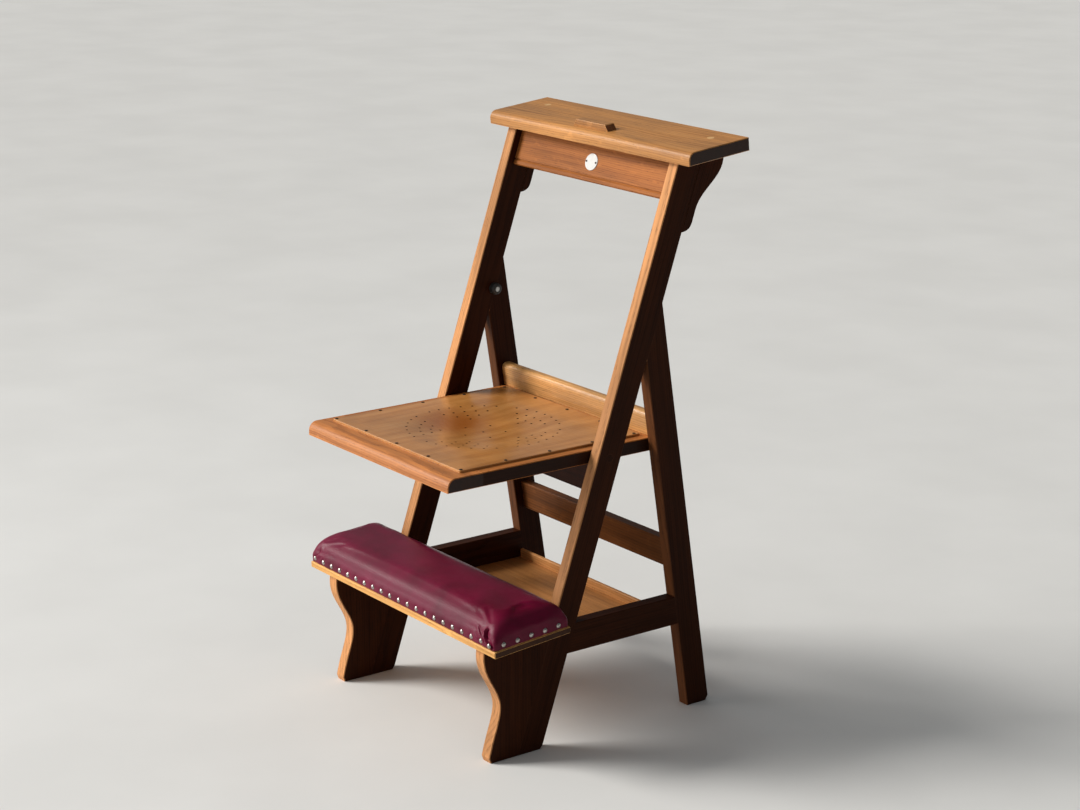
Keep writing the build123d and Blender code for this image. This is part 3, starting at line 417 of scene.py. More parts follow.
def pressed_plywood(name):
    """Face veneer under amber varnish: an amber patch on top that is a painted reflection, pale
    outer edges and holes darkened with painted shade.
    """
    shader = Shader(name)
    here = shader.coordinates()
    grain = grain_space(shader, ALONG_Y, PLYWOOD_SEED)
    figure = shader.noise(stretched(shader, grain, FACE_FIGURE), 1.0, 5.0, 0.62, 0.4)
    fibre = shader.noise(stretched(shader, grain, FACE_FIBRE), 1.0, 2.0, 0.6)
    cloud = shader.noise(here, 9.0, 3.0, 0.55)
    colour = shader.ramp(figure, [(0.32, (0.400, 0.150, 0.028)), (0.55, (0.500, 0.210, 0.052)),
                                  (0.75, (0.560, 0.262, 0.080))])
    fibre_share = shader.between(fibre, 0.55, 0.75, 0.0, 0.30)
    colour = shader.mix(fibre_share, colour, (0.22, 0.075, 0.012))
    colour = shader.shaded(colour, shader.between(cloud, 0.3, 0.7, 0.84, 1.12))

    dish = next(o for o in RECORD["physics"]["openings"] if o["name"] == "seat_dish")
    centre = (Vector(dish["box_m"][0]) + Vector(dish["box_m"][1])) / 2
    upward = shader.dot(shader.normal(), tuple(ALONG_Z))
    # painted reflection: an amber patch on the top faces, where the varnish mirrors the dark rails
    # and legs
    ragged = shader.math("MULTIPLY", shader.noise(here, 40.0, 3.0, 0.6), 0.030)
    near = shader.math("ADD", shader.distance(here, tuple(centre + DISH_TO_PATCH)), ragged)
    patch = shader.between(near, PATCH_INNER, PATCH_OUTER, 0.90, 0.0)
    topside = shader.between(upward, 0.3, 0.7)
    colour = shader.mix(shader.math("MULTIPLY", patch, topside), colour, REFLECTION_AMBER)

    margin = shader.between(shader.distance(here, tuple(centre)), PERFORATED_TO, MARGIN_FROM)
    perforated = shader.math("SUBTRACT", 1.0, margin)
    edge = shader.between(shader.edges(PLYWOOD_EDGE), 0.03, 0.2, 0.0, 0.85)
    colour = shader.mix(shader.math("MULTIPLY", edge, margin), colour, BARE_EDGE)
    # painted shade: the rims and walls of the holes are painted dark
    colour = shader.mix(shader.math("MULTIPLY", edge, perforated), colour, HOLE_RIM_SHADE)
    level = shader.math("ABSOLUTE", upward)
    walls = shader.math("MULTIPLY", perforated, shader.between(level, 0.3, 0.7, 1.0, 0.0))
    colour = shader.mix(walls, colour, HOLE_WALL_SHADE)

    scuffs = shader.noise(stretched(shader, grain, SCUFFS), 1.0, 4.0, 0.7)
    roughness = shader.between(scuffs, 0.35, 0.75, 0.30, 0.42)
    ripple = shader.math("MULTIPLY", shader.noise(here, 22.0, 2.0, 0.5), 0.8)
    height = shader.math("ADD", shader.math("MULTIPLY", fibre, 0.10), ripple)
    bumped = shader.bump(height, 0.10 * MM, 0.5)
    shader.surface(colour, roughness, bumped, specular=0.35, coat=0.4, coat_roughness=0.22)
    return shader.material


# --- leather, metal, rubber and enamel -----------------------------------------------------------
CREASE_SCALE = (60.0, 130.0, 60.0)
SCRATCH_SCALE = (900.0, 900.0, 2400.0)


def leather(name):
    """Smooth burgundy upholstery leather: fine pebble grain, mottled dye and soft creases."""
    shader = Shader(name)
    here = shader.coordinates()
    warp = shader.noise(here, 60.0, 2.0, 0.5)
    bend = [shader.math("MULTIPLY", warp, by) for by in (0.004, -0.003)]
    pebble = shader.cell_edges(shader.vector("ADD", here, shader.combine(*bend, 0.0)), 900.0)
    dye = shader.noise(here, 16.0, 5.0, 0.6)
    handled = shader.noise(here, 5.0, 3.0, 0.5)
    creases = shader.noise(shader.vector("MULTIPLY", here, CREASE_SCALE), 1.0, 5.0, 0.65, 1.2)
    colour = shader.ramp(dye, [(0.30, (0.082, 0.0018, 0.0150)), (0.55, (0.128, 0.0026, 0.0245)),
                               (0.78, (0.170, 0.0038, 0.0340))])
    worn = shader.between(handled, 0.48, 0.70, 0.0, 0.28)
    colour = shader.mix(worn, colour, (0.055, 0.006, 0.015))
    valleys = shader.between(pebble, 0.0, 0.06, 0.22, 0.0)
    colour = shader.mix(valleys, colour, (0.035, 0.003, 0.008))
    roughness = shader.between(handled, 0.3, 0.7, 0.33, 0.44)
    pebbled = shader.math("MULTIPLY", shader.between(pebble, 0.0, 0.22), 0.5)
    height = shader.math("ADD", pebbled, shader.math("MULTIPLY", creases, 1.1))
    shader.surface(colour, roughness, shader.bump(height, 0.16 * MM, 0.55), specular=0.17)
    return shader.material


def metal(name, pale, tarnish, roughness, share=0.5):
    """Scratched bare metal; share says how strong its patches of tarnish are."""
    shader = Shader(name)
    here = shader.coordinates()
    patches = shader.between(shader.noise(here, 260.0, 4.0, 0.65), 0.42, 0.66, 0.0, share)
    scratches = shader.noise(shader.vector("MULTIPLY", here, SCRATCH_SCALE), 1.0, 2.0, 0.6)
    colour = shader.mix(patches, pale, tarnish)
    rough = shader.math("ADD", shader.math("MULTIPLY", patches, 0.35), roughness)
    shader.surface(colour, rough, shader.bump(scratches, 0.02 * MM, 0.3), metallic=1.0)
    return shader.material


def rubber(name):
    """Black rubber with some dust on it."""
    shader = Shader(name)
    here = shader.coordinates()
    dust = shader.noise(here, 140.0, 5.0, 0.7)
    colour = shader.ramp(dust, [(0.35, (0.010, 0.010, 0.011)), (0.75, (0.050, 0.047, 0.043))])
    roughness = shader.between(dust, 0.3, 0.7, 0.42, 0.62)
    shader.surface(colour, roughness, shader.bump(dust, 0.05 * MM, 0.5))
    return shader.material


def enamel(name, pin_centres):
    """White glass enamel, gone faintly ivory, with a rusty halo at each pin."""
    shader = Shader(name)
    here = shader.coordinates()
    cloud = shader.noise(here, 180.0, 4.0, 0.6)
    colour = shader.ramp(cloud, [(0.3, (0.62, 0.61, 0.58)), (0.7, (0.70, 0.69, 0.67))])
    ragged = shader.math("MULTIPLY", shader.noise(here, 900.0, 4.0, 0.7), 2.4 * MM)
    for centre in pin_centres:
        away = shader.math("ADD", shader.distance(here, tuple(centre)), ragged)
        rust = shader.between(away, 2.6 * MM, 4.6 * MM, 0.75, 0.0)
        colour = shader.mix(rust, colour, (0.10, 0.045, 0.022))
    shader.surface(colour, 0.16, shader.bump(cloud, 0.05 * MM, 0.3), coat=0.6, coat_roughness=0.05)
    return shader.material


def dark_iron(name):
    """Blackened iron with specks of rust."""
    shader = Shader(name)
    rust = shader.noise(shader.coordinates(), 420.0, 4.0, 0.7)
    colour = shader.ramp(rust, [(0.40, (0.018, 0.015, 0.013)), (0.72, (0.075, 0.034, 0.018))])
    roughness = shader.between(rust, 0.3, 0.7, 0.38, 0.7)
    shader.surface(colour, roughness, shader.bump(rust, 0.06 * MM, 0.6), metallic=0.6)
    return shader.material


# --- finishes of the CAD pieces ------------------------------------------------------------------
# painted light and shade: the frame's rail colours below are near-black painted shade for its
# faces, and its front colours are the painted light on its fronts
RAIL_SHADED_SIDE = (0.040, 0.0105, 0.0032)
RAIL_SHADED_DARK = (0.018, 0.0045, 0.0016)
RAIL_LIT_FRONT = (0.560, 0.260, 0.105)
LEG_LIT_FRONT = (0.120, 0.042, 0.015)
SHELF_BODY = (0.480, 0.215, 0.060)
SHELF_DARK = (0.260, 0.095, 0.016)
APRON_BODY = (0.330, 0.112, 0.026)
APRON_DARK = (0.180, 0.052, 0.011)
SEAT_BODY = (0.520, 0.190, 0.050)
SEAT_DARK = (0.260, 0.074, 0.015)
LIGHT_BODY = (0.680, 0.350, 0.120)
LIGHT_DARK = (0.360, 0.150, 0.036)
BOARD_DARK = (0.300, 0.115, 0.030)
# painted shade on the faces that look along x, on cross pieces together with the end grain's deeper
# stain
SIDE_SHADE_AND_STAIN = (0.026, 0.0075, 0.0028)
SHARP_ANGLE = math.radians(28)


def measured_direction(node):
    """Upward direction of a long straight piece in the side plane, from all its mesh points."""
    points = np.array([v.co for v in NODES[node].data.vertices])
    spread = (points - points.mean(0))[:, 1:]
    y, z = np.linalg.svd(spread, full_matrices=False)[2][0]
    if z < 0:
        y, z = -y, -z
    return Vector((0, y, z)).normalized()


def finish(node, material):
    """Give a CAD piece one material."""
    mesh = NODES[node].data
    mesh.materials.clear()
    mesh.materials.append(material)


def finish_wood():
    seed = 1
    for side in ("left", "right"):
        lean = measured_direction(side + "_rail")
        pieces = {
            "_rail": (lean, RAIL_LIT_FRONT),
            "_rear_leg": (measured_direction(side + "_rear_leg"), LEG_LIT_FRONT),
            "_side_stretcher": (ALONG_Y, LEG_LIT_FRONT),
            "_foot_panel": (ALONG_Z, RAIL_LIT_FRONT),
            "_shelf_bracket": (lean, LEG_LIT_FRONT),
            "_pivot_plug": (ALONG_X, None),
        }
        # each frame piece is near-black all over as painted shade, with painted light on the faces
        # towards the kneeler
        for piece, (along, front) in pieces.items():
            name = side + piece
            finish(name, oak(name, along, RAIL_SHADED_SIDE, RAIL_SHADED_DARK, seed, front=front, ring=4.2,
                             varnish=0.0, flecked=0, gloss=0.05))
            seed += 1
    # body, dark, sides, varnish and gloss of the pieces whose grain runs from side to side; sides
    # is painted shade on the ends, with the end grain's deeper stain
    across_pieces = {
        "top_shelf": (SHELF_BODY, SHELF_DARK, SIDE_SHADE_AND_STAIN, 0.15, 0.20),
        # the book stop's ends are painted darker: painted shade
        "book_stop": (SHELF_BODY, SHELF_DARK, (0.24, 0.085, 0.022), 0.20, 0.20),
        "shelf_plugs": ((0.66, 0.40, 0.17), (0.45, 0.23, 0.08), None, 0.20, 0.20),
        "apron": (APRON_BODY, APRON_DARK, None, 0.0, 0.10),
        "seat_front_rail": (SEAT_BODY, SEAT_DARK, SIDE_SHADE_AND_STAIN, 0.08, 0.20),
        "seat_rear_rail": (SEAT_BODY, SEAT_DARK, None, 0.10, 0.20),
        # the seat bearer is painted the frame's near-black: painted shade under the seat
        "seat_bearer": (RAIL_SHADED_SIDE, RAIL_SHADED_DARK, None, 0.0, 0.05),
        "upper_cross_rail": (LIGHT_BODY, LIGHT_DARK, None, 0.25, 0.25),
        "mid_cross_rail": ((0.130, 0.043, 0.011), (0.055, 0.017, 0.004), None, 0.0, 0.08),
        # the kneeler board's ends are painted near-black: painted shade
        "kneeler_board": ((0.640, 0.330, 0.105), (0.400, 0.175, 0.042), (0.055, 0.018, 0.006),
                          0.0, 0.15),
        "storage_lip": ((0.500, 0.230, 0.078), BOARD_DARK, None, 0.0, 0.15),
        "storage_board": ((0.480, 0.215, 0.068), BOARD_DARK, None, 0.0, 0.15),
        # the frame dowels take the frame's near-black painted shade
        "frame_dowels": (RAIL_SHADED_SIDE, RAIL_SHADED_DARK, None, 0.0, 0.05),
        "seat_dowels": (LIGHT_BODY, LIGHT_DARK, None, 0.0, 0.15),
        "pad_board": (LIGHT_BODY, LIGHT_DARK, None, 0.0, 0.15),
    }
    for name, (body, dark, sides, varnish, gloss) in across_pieces.items():
        finish(name, oak(name, ALONG_X, body, dark, seed, sides=sides, varnish=varnish,
                         gloss=gloss))
        seed += 1
    # painted shade: the seat rails' faces that look along x are painted near-black
    for name in ("seat_left_rail", "seat_right_rail"):
        finish(name, oak(name, ALONG_Y, SEAT_BODY, SEAT_DARK, seed, sides=SIDE_SHADE_AND_STAIN, varnish=0.0,
                         gloss=0.10))
        seed += 1
    finish("seat_panel", pressed_plywood("seat_plywood"))


def finish_fittings():
    steel = metal("plain_steel", (0.50, 0.49, 0.47), (0.16, 0.11, 0.08), 0.30)
    brass = metal("turned_brass", (0.66, 0.46, 0.16), (0.22, 0.13, 0.05), 0.25)
    iron = dark_iron("black_iron")
    black_rubber = rubber("black_rubber")
    for side in ("left", "right"):
        finish(side + "_pivot_pin", steel)
        finish(side + "_pivot_washer", steel)
        finish(side + "_pivot_bush", brass)
        finish(side + "_seat_buffer", black_rubber)
    for node in ("buffer_screws", "seat_bearer_screws", "kneeler_board_screws", "pad_screws",
                 "shelf_screws", "storage_board_nails"):
        finish(node, steel)
    for node in ("seat_panel_nails", "number_plate_pins"):
        finish(node, iron)
    finish("number_plate", enamel("white_enamel", island_centres("number_plate_pins")))


# --- separate solids of a grouped node ------------------------------------------------------------
SAME_PLACE = 0.001 * MM


def islands(node):
    """Vertex positions of each separate solid of a CAD node."""
    work = bmesh.new()
    work.from_mesh(NODES[node].data)
    bmesh.ops.remove_doubles(work, verts=work.verts, dist=SAME_PLACE)
    found, seen = [], set()
    for start in work.verts:
        if start in seen:
            continue
        seen.add(start)
        queue, member = [start], []
        while queue:
            vertex = queue.pop()
            member.append(vertex.co.copy())
            for edge in vertex.link_edges:
                other = edge.other_vert(vertex)
                if other not in seen:
                    seen.add(other)
                    queue.append(other)
        found.append(member)
    work.free()
    return found


def island_centres(node):
    """Middle of the box round each separate solid of a CAD node."""
    clouds = [np.array(member) for member in islands(node)]
    return [(points.min(0) + points.max(0)) / 2 for points in clouds]


# --- the kneeling pad ----------------------------------------------------------------------------
# the drawn pillow
PAD_INSET = 1.5 * MM
START_HEIGHT = 0.98
BAND_HEIGHT = 14.0 * MM
PLAN_CORNER = 6.0 * MM
ROUND_POWER = 2.6
FRONT_ROUND = 52.0 * MM
BACK_ROUND = 46.0 * MM
END_ROUND = 26.0 * MM
PILLOW_COLUMNS = 120
PILLOW_ROWS = 44
# remeshing, smoothing and the cloth solver
VOXEL = 3.6 * MM
SMOOTH_FACTOR = 0.5
SMOOTH_ROUNDS = 6
CLOTH_STEPS = 20
CLOTH = {"quality": 6, "mass": 0.3, "tension_stiffness": 18, "compression_stiffness": 18,
         "bending_stiffness": 2.0, "use_pressure": True, "uniform_pressure_force": 4.0}
SWELL_CAP = 2.0 * MM
# how deep the leather can be pressed: over the base board, and above it where there is stuffing
BASE_BOARD = 14.0 * MM
FOAM_FROM = 1.3 * BASE_BOARD
COVER_DEPTH = 1.2 * MM
FOAM_GIVE = 3.5 * MM
# the nailed band: what counts as its underside, and the heights at which it blends into the crown
UNDERSIDE = -0.75
BAND_FULL = 0.7 * BAND_HEIGHT
BAND_GONE = 1.6 * BAND_HEIGHT
# the dimple at each nail and the pucker that runs up from it
NAIL_REACH = 24.0 * MM
NAIL_FACING = 0.2
NAIL_PULL = 0.9 * MM
NAIL_SPREAD = 5.5 * MM
PUCKER_DEPTH = 0.5 * MM
PUCKER_WIDTH = 1.8 * MM
PUCKER_HEIGHT = 9.0 * MM
PUCKER_LEAN = 0.35
PUCKER_SEED = 7
# the part of each front corner that is meshed finely enough for folds
FOLD_REACH = 54.0 * MM
FINE_REACH = 0.55 * FOLD_REACH
FOLD_FROM_BOARD = 2.0 * MM
# a fold's reach and its lip's place and width, all in widths of the fold
FOLD_HALO = 6
LIP_OFFSET = 2.1
LIP_WIDTH = 1.3
# where a fold has reached its depth and where it starts to fade, as shares of its length
FOLD_STARTED = 0.15
FOLD_FADES = 0.82
# how strong the left corner's folds are beside the right corner's
LEFT_FOLD_SHARE = 0.20
# each point of a fold's path is (in from the end, in from the front, up), all in millimetres
CORNER_FOLDS = [
    {"depth": 4.2, "width": 1.6, "lip": 3.6,
     "path": [(4, 0.5, 3), (9, 0.5, 9), (16, 1, 14), (22, 2, 19), (24, 4, 24), (20, 8, 30)]},
    {"depth": 1.6, "width": 1.6, "lip": 0.9,
     "path": [(23, 0.5, 8), (30, 1, 15), (39, 3, 22), (48, 8, 28)]},
    {"depth": 0.7, "width": 1.8, "lip": 0.3,
     "path": [(35, 0.5, 6), (42, 1, 12), (51, 3, 18)]},
]


def kneeler_axes():
    """Matrix from the pad's own axes to the object's.

    They are x, in from the pad's front face, and up from the kneeler board.
    """
    mount = next(m for m in RECORD["mounts"] if m["name"] == "kneeling_pad_top")
    up = Vector(mount["axis"]).normalized()
    inward = up.cross(ALONG_X)
    points = [v.co for v in NODES["pad_cover"].data.vertices]
    origin = inward * min(p.dot(inward) for p in points) + up * min(p.dot(up) for p in points)
    return Matrix.Translation(origin) @ Matrix((ALONG_X, inward, up)).transposed().to_4x4()


def smoothstep(value, low, high):
    """0 below low, 1 above high, and an even S between them."""
    t = min(1.0, max(0.0, (value - low) / (high - low)))
    return t * t * (3 - 2 * t)


def rounding(inward, reach):
    """Height share of a superellipse that starts upright at the edge and eases level at reach."""
    share = min(1.0, max(0.0, inward / reach))
    return (1 - (1 - share) ** ROUND_POWER) ** (1 / ROUND_POWER)


def rounded_plan(x, y, half_width, depth):
    """Move a point of a square corner towards the middle, so that the corner becomes round."""
    for cx, sx in ((half_width - PLAN_CORNER, 1), (PLAN_CORNER - half_width, -1)):
        for cy, sy in ((depth - PLAN_CORNER, 1), (PLAN_CORNER, -1)):
            dx, dy = (x - cx) * sx, (y - cy) * sy
            if dx > 0 and dy > 0:
                scale = max(dx, dy) / math.hypot(dx, dy)
                return cx + (x - cx) * scale, cy + (y - cy) * scale
    return x, y


def pillow(half_width, depth, height):
    """Closed pillow: an upright band below, and above it rounded ends, front and back."""
    work = bmesh.new()
    grid = []
    for j in range(PILLOW_ROWS + 1):
        y = depth * (1 - math.cos(math.pi * j / PILLOW_ROWS)) / 2
        line = []
        for i in range(PILLOW_COLUMNS + 1):
            x = half_width * math.sin(math.pi * (i / PILLOW_COLUMNS - 0.5))
            rise = rounding(half_width - abs(x), END_ROUND)
            rise *= rounding(y, FRONT_ROUND) * rounding(depth - y, BACK_ROUND)
            px, py = rounded_plan(x, y, half_width, depth)
            line.append(work.verts.new((px, py, BAND_HEIGHT + (height - BAND_HEIGHT) * rise)))
        grid.append(line)
    for lower, upper in zip(grid, grid[1:]):
        for i in range(PILLOW_COLUMNS):
            work.faces.new((lower[i], lower[i + 1], upper[i + 1], upper[i]))
    rim = [e for e in work.edges if e.is_boundary]
    skirt = bmesh.ops.extrude_edge_only(work, edges=rim)["geom"]
    for v in (g for g in skirt if isinstance(g, bmesh.types.BMVert)):
        v.co.z = 0.0
    bmesh.ops.holes_fill(work, edges=[e for e in work.edges if e.is_boundary])
    bmesh.ops.recalc_face_normals(work, faces=work.faces)
    mesh = bpy.data.meshes.new("kneeling_pad")
    work.to_mesh(mesh)
    work.free()
    return mesh


def apply_modifiers(piece):
    """Make the piece's modified shape its mesh."""
    graph = bpy.context.evaluated_depsgraph_get()
    made = bpy.data.meshes.new_from_object(piece.evaluated_get(graph))
    piece.modifiers.clear()
    piece.data = made


def with_modifier(piece, kind, **settings):
    """Apply one modifier to the piece's mesh."""
    modifier = piece.modifiers.new(kind.lower(), kind)
    for key, value in settings.items():
        setattr(modifier, key, value)
    apply_modifiers(piece)


def inflate(piece):
    """Blow the closed skin up a little with the cloth solver while its nailed band is held."""
    start = [v.co.copy() for v in piece.data.vertices]
    group = piece.vertex_groups.new(name="nailed")
    held = [v.index for v in piece.data.vertices if v.co.z < BAND_HEIGHT]
    group.add(held, 1.0, "REPLACE")
    cloth = piece.modifiers.new("cloth", "CLOTH")
    for key, value in CLOTH.items():
        setattr(cloth.settings, key, value)
    cloth.settings.vertex_group_mass = "nailed"
    cloth.settings.effector_weights.gravity = 0.0
    cloth.point_cache.frame_end = CLOTH_STEPS
    for step in range(1, CLOTH_STEPS + 1):
        bpy.context.scene.frame_set(step)
    apply_modifiers(piece)
    piece.vertex_groups.clear()
    for v, before in zip(piece.data.vertices, start):
        move = v.co - before
        if move.length > SWELL_CAP:
            v.co = before + move.normalized() * SWELL_CAP
    bpy.context.scene.frame_set(1)


def nearest_on_path(point, path):
    """(distance, share of the way along, nearest point, direction) for a polyline."""
    best = None
    for i, (a, b) in enumerate(zip(path, path[1:])):
        along = b - a
        t = min(1.0, max(0.0, (point - a).dot(along) / along.length_squared))
        spot = a + along * t
        away = (point - spot).length
        if best is None or away < best[0]:
            best = (away, (i + t) / (len(path) - 1), spot, along.normalized())
    return best


def fold_shift(point, normal, path, fold, hand):
    """How far a vertex moves along its normal at a fold: a valley with a rolled lip on one side."""
    away, share, spot, along = nearest_on_path(point, path)
    width = fold["width"] * MM
    if away > FOLD_HALO * width:
        return 0.0
    fade = smoothstep(share, 0.0, FOLD_STARTED) * (1 - smoothstep(share, FOLD_FADES, 1.0))
    side = hand * (point - spot).dot(along.cross(normal))
    move = -fold["depth"] * MM * math.exp(-(away / width) ** 2)
    if side < 0:
        from_lip = (away - LIP_OFFSET * width) / (LIP_WIDTH * width)
        move += fold["lip"] * MM * math.exp(-from_lip ** 2)
    return fade * move


def refine_corners(mesh, half_width):
    """Split the faces near the two front corners twice, to hold the folds."""
    work = bmesh.new()
    work.from_mesh(mesh)
    for reach in (FOLD_REACH, FINE_REACH):
        near = []
        for face in work.faces:
            x, y, z = face.calc_center_median()
            if half_width - abs(x) < reach and y < reach and z > FOLD_FROM_BOARD:
                near.append(face)
        edges = list(dict.fromkeys(e for f in near for e in f.edges))
        bmesh.ops.subdivide_edges(work, edges=edges, cuts=1, use_grid_fill=True)
    work.to_mesh(mesh)
    work.free()


def skin_of(mesh):
    """Search tree of the mesh's surface."""
    return BVHTree.FromPolygons([v.co for v in mesh.vertices], [p.vertices for p in mesh.polygons])


def nail_places(to_local):
    """(centre, outward direction, head radius) of every dome nail, in the pad's own axes."""
    places = []
    for member in islands("upholstery_nails"):
        points = np.array([to_local @ p for p in member])
        low, high = points.min(0), points.max(0)
        centre = Vector((low + high) / 2)
        width, depth, _ = high - low
        if depth > width:
            places.append((centre, Vector((0, -1, 0)), width / 2))
        else:
            places.append((centre, Vector((math.copysign(1, centre.x), 0, 0)), depth / 2))
    return places


def way_out(x, y, half_width, depth):
    """Distance from a point inside the rounded plan to its outline, and the x and y to go."""
    over_x = abs(x) - (half_width - PLAN_CORNER)
    over_y = abs(y - depth / 2) - (depth / 2 - PLAN_CORNER)
    if over_x > 0 and over_y > 0:
        reach = math.hypot(over_x, over_y)
        step_x, step_y = over_x / reach, over_y / reach
    elif over_x > over_y:
        reach, step_x, step_y = over_x, 1.0, 0.0
    else:
        reach, step_x, step_y = over_y, 0.0, 1.0
    return PLAN_CORNER - reach, math.copysign(step_x, x), math.copysign(step_y, y - depth / 2)


def settle_band(mesh, half_width, depth):
    """Bring the nailed band out to the CAD cover's faces and its hem down to the board."""
    hem = min(v.co.z for v in mesh.vertices)
    normals = [v.normal.copy() for v in mesh.vertices]
    for v, normal in zip(mesh.vertices, normals):
        if normal.z < UNDERSIDE:
            v.co.z = 0.0
            continue
        distance, step_x, step_y = way_out(v.co.x, v.co.y, half_width, depth)
        if distance < BAND_HEIGHT:
            share = 1 - smoothstep(v.co.z, BAND_FULL, BAND_GONE)
            v.co.x += step_x * distance * share
            v.co.y += step_y * distance * share
        v.co.z -= hem * (1 - smoothstep(v.co.z, hem, BAND_HEIGHT))


def lay_folds(skin, half_width):
    """(path on the skin, fold, side, strength) of every fold, at both front corners."""
    folds = []
    for hand, share in ((1, 1.0), (-1, LEFT_FOLD_SHARE)):
        for fold in CORNER_FOLDS:
            drawn = [Vector((hand * (half_width - x * MM), y * MM, z * MM))
                     for x, y, z in fold["path"]]
            folds.append(([skin.find_nearest(point)[0] for point in drawn], fold, hand, share))
    return folds


def nail_shift(point, normal, nailed, leans):
    """How far the nails draw a point of the leather in: a dimple at each, a pucker above it."""
    move = 0.0
    for (place, outward, _), lean in zip(nailed, leans):
        offset = point - place
        flat = offset - outward * offset.dot(outward)
        if flat.length > NAIL_REACH or normal.dot(outward) < NAIL_FACING:
            continue
        move -= NAIL_PULL * math.exp(-(flat.length / NAIL_SPREAD) ** 2)
        if flat.z > 0:
            sideways = (flat.dot(outward.cross(ALONG_Z)) - lean * flat.z) / PUCKER_WIDTH
            upward = flat.z / PUCKER_HEIGHT
            move -= PUCKER_DEPTH * math.exp(-sideways ** 2 - upward ** 2)
    return move


def tuck(mesh, nailed, half_width):
    """Pull the leather in at each nail, pucker it above them and fold it at the front corners."""
    shift = random.Random(PUCKER_SEED)
    leans = [shift.uniform(-PUCKER_LEAN, PUCKER_LEAN) for _ in nailed]
    normals = [v.normal.copy() for v in mesh.vertices]
    folds = lay_folds(skin_of(mesh), half_width)
    for v, normal in zip(mesh.vertices, normals):
        move = nail_shift(v.co, normal, nailed, leans)
        if v.co.y < FOLD_REACH and half_width - abs(v.co.x) < FOLD_REACH:
            for path, fold, hand, share in folds:
                if hand * v.co.x > 0:
                    move += share * fold_shift(v.co, normal, path, fold, hand)
        deepest = COVER_DEPTH + FOAM_GIVE * smoothstep(v.co.z, BASE_BOARD, FOAM_FROM)
        v.co += normal * max(move, -deepest)


def make_pad():
    """Draw, swell, nail and fold the leather pad, in its own axes, and seat its nail heads."""
    to_object = kneeler_axes()
    to_local = to_object.inverted()
    cover = np.array([to_local @ v.co for v in NODES["pad_cover"].data.vertices])
    half_width, depth, height = cover.max(0)
    block = pillow(half_width - PAD_INSET, depth - 2 * PAD_INSET, height * START_HEIGHT)
    block.transform(Matrix.Translation((0, PAD_INSET, 0)))
    pad = link("kneeling_pad", block)
    with_modifier(pad, "REMESH", mode="VOXEL", voxel_size=VOXEL)
    with_modifier(pad, "SMOOTH", factor=SMOOTH_FACTOR, iterations=SMOOTH_ROUNDS)
    inflate(pad)
    with_modifier(pad, "SUBSURF", levels=1, render_levels=1)
    nailed = nail_places(to_local)
    settle_band(pad.data, half_width, depth)
    refine_corners(pad.data, half_width)
    tuck(pad.data, nailed, half_width)
    make_nail_heads(nailed, skin_of(pad.data), to_object)
    pad.data.transform(to_object)
    pad.data.shade_smooth()
    pad.data.materials.clear()
    pad.data.materials.append(leather("burgundy_leather"))
    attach(pad, "frame")
    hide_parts("pad_cover", "pad_foam")


# --- dome nails ----------------------------------------------------------------------------------
HEAD_SEGMENTS = 28
HEAD_RINGS = 7
HEAD_RIM = 0.35 * MM
HEAD_FOOT = -0.25 * MM
HEAD_SINK = 0.15 * MM
HEAD_TILT = 0.09
HEAD_SEED = 23
# shares of the head's radius
FOOT_SHARE = 0.93
SHOULDER_SHARE = 0.985
DOME_SHARE = 0.60
# millimetres: how far a head strays up or down, and how far out the search for the leather starts
HEAD_STRAY = 0.4
RAY_START = 60


def head_profile(radius, dome_height):
    """(radius, height) of each ring, from the turned-in foot to just below the tip."""
    shoulder = radius * SHOULDER_SHARE
    profile = [(radius * FOOT_SHARE, HEAD_FOOT), (radius, 0.0), (shoulder, HEAD_RIM)]
    for ring in range(1, HEAD_RINGS):
        angle = math.pi / 2 * ring / HEAD_RINGS
        rise = HEAD_RIM + (dome_height - HEAD_RIM) * math.sin(angle)
        profile.append((shoulder * math.cos(angle), rise))
    return profile


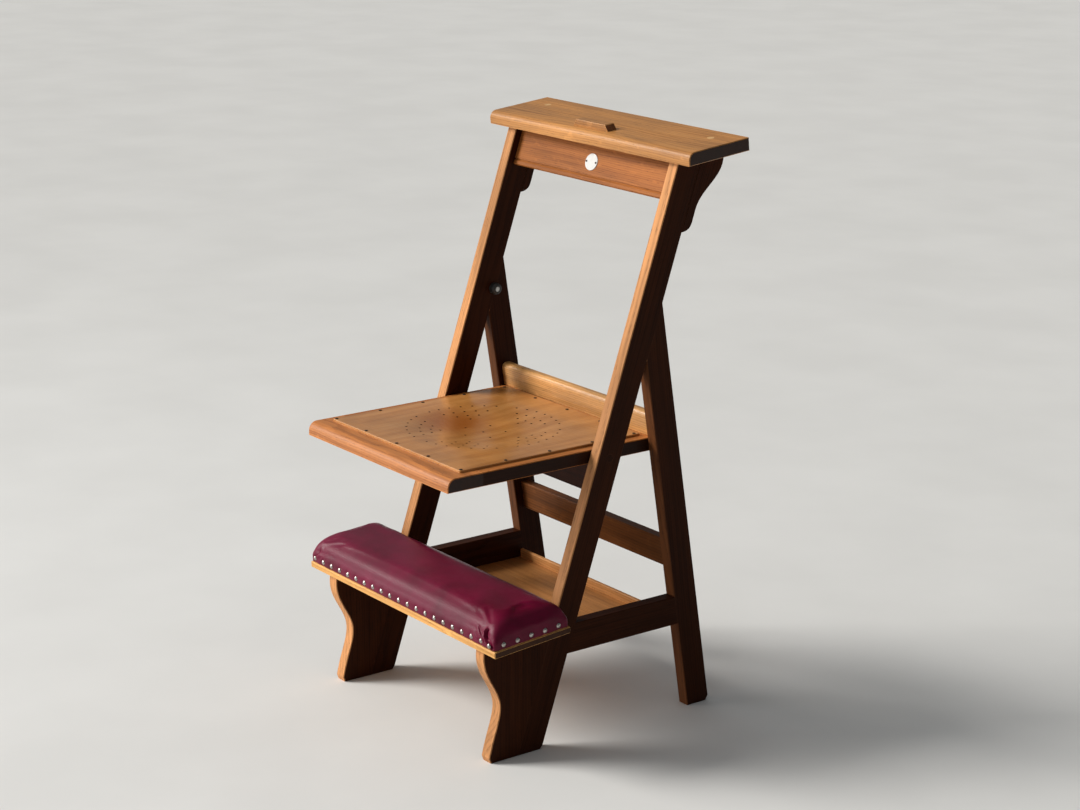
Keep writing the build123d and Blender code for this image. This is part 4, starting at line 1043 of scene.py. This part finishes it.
def nail_head(work, seat, outward, radius, shift):
    """Pressed dome with a turned-in rim, hammered home a little askew."""
    turn = outward.to_track_quat("Z", "Y").to_matrix().to_4x4()
    for axis in "XY":
        turn = turn @ Matrix.Rotation(shift.uniform(-HEAD_TILT, HEAD_TILT), 4, axis)
    dome_height = DOME_SHARE * radius
    rings = []
    for across, rise in head_profile(radius, dome_height):
        ring = []
        for i in range(HEAD_SEGMENTS):
            angle = 2 * math.pi * i / HEAD_SEGMENTS
            local = Vector((across * math.cos(angle), across * math.sin(angle), rise))
            ring.append(work.verts.new(seat + (turn @ local)))
        rings.append(ring)
    for inner, outer in zip(rings[1:], rings):
        for i in range(HEAD_SEGMENTS):
            j = (i + 1) % HEAD_SEGMENTS
            work.faces.new((outer[i], outer[j], inner[j], inner[i]))
    tip = work.verts.new(seat + (turn @ Vector((0, 0, dome_height))))
    for i in range(HEAD_SEGMENTS):
        work.faces.new((rings[-1][i], rings[-1][(i + 1) % HEAD_SEGMENTS], tip))
    work.faces.new(list(reversed(rings[0])))


def make_nail_heads(nailed, skin, to_object):
    """Seat each head on the leather, where a line from outside meets it."""
    shift = random.Random(HEAD_SEED)
    work = bmesh.new()
    for centre, outward, radius in nailed:
        stray = ALONG_Z * shift.uniform(-HEAD_STRAY, HEAD_STRAY) * MM
        start = centre + outward * RAY_START * MM + stray
        place = skin.ray_cast(start, -outward)[0]
        nail_head(work, place - outward * HEAD_SINK, outward, radius, shift)
    mesh = bpy.data.meshes.new("dome_nails")
    work.to_mesh(mesh)
    work.free()
    mesh.transform(to_object)
    mesh.shade_smooth()
    mesh.materials.append(metal("nickel_plate", (0.46, 0.44, 0.41), (0.16, 0.12, 0.09), 0.22, 0.6))
    heads = link("dome_nails", mesh)
    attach(heads, "frame")
    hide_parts("upholstery_nails")


make_camera()
make_floor()
make_lights()
make_sky()
finish_wood()
finish_fittings()
make_pad()
for cad in NODES.values():
    cad.data.shade_smooth()
    cad.data.set_sharp_from_angle(angle=SHARP_ANGLE)

bpy.context.view_layer.update()
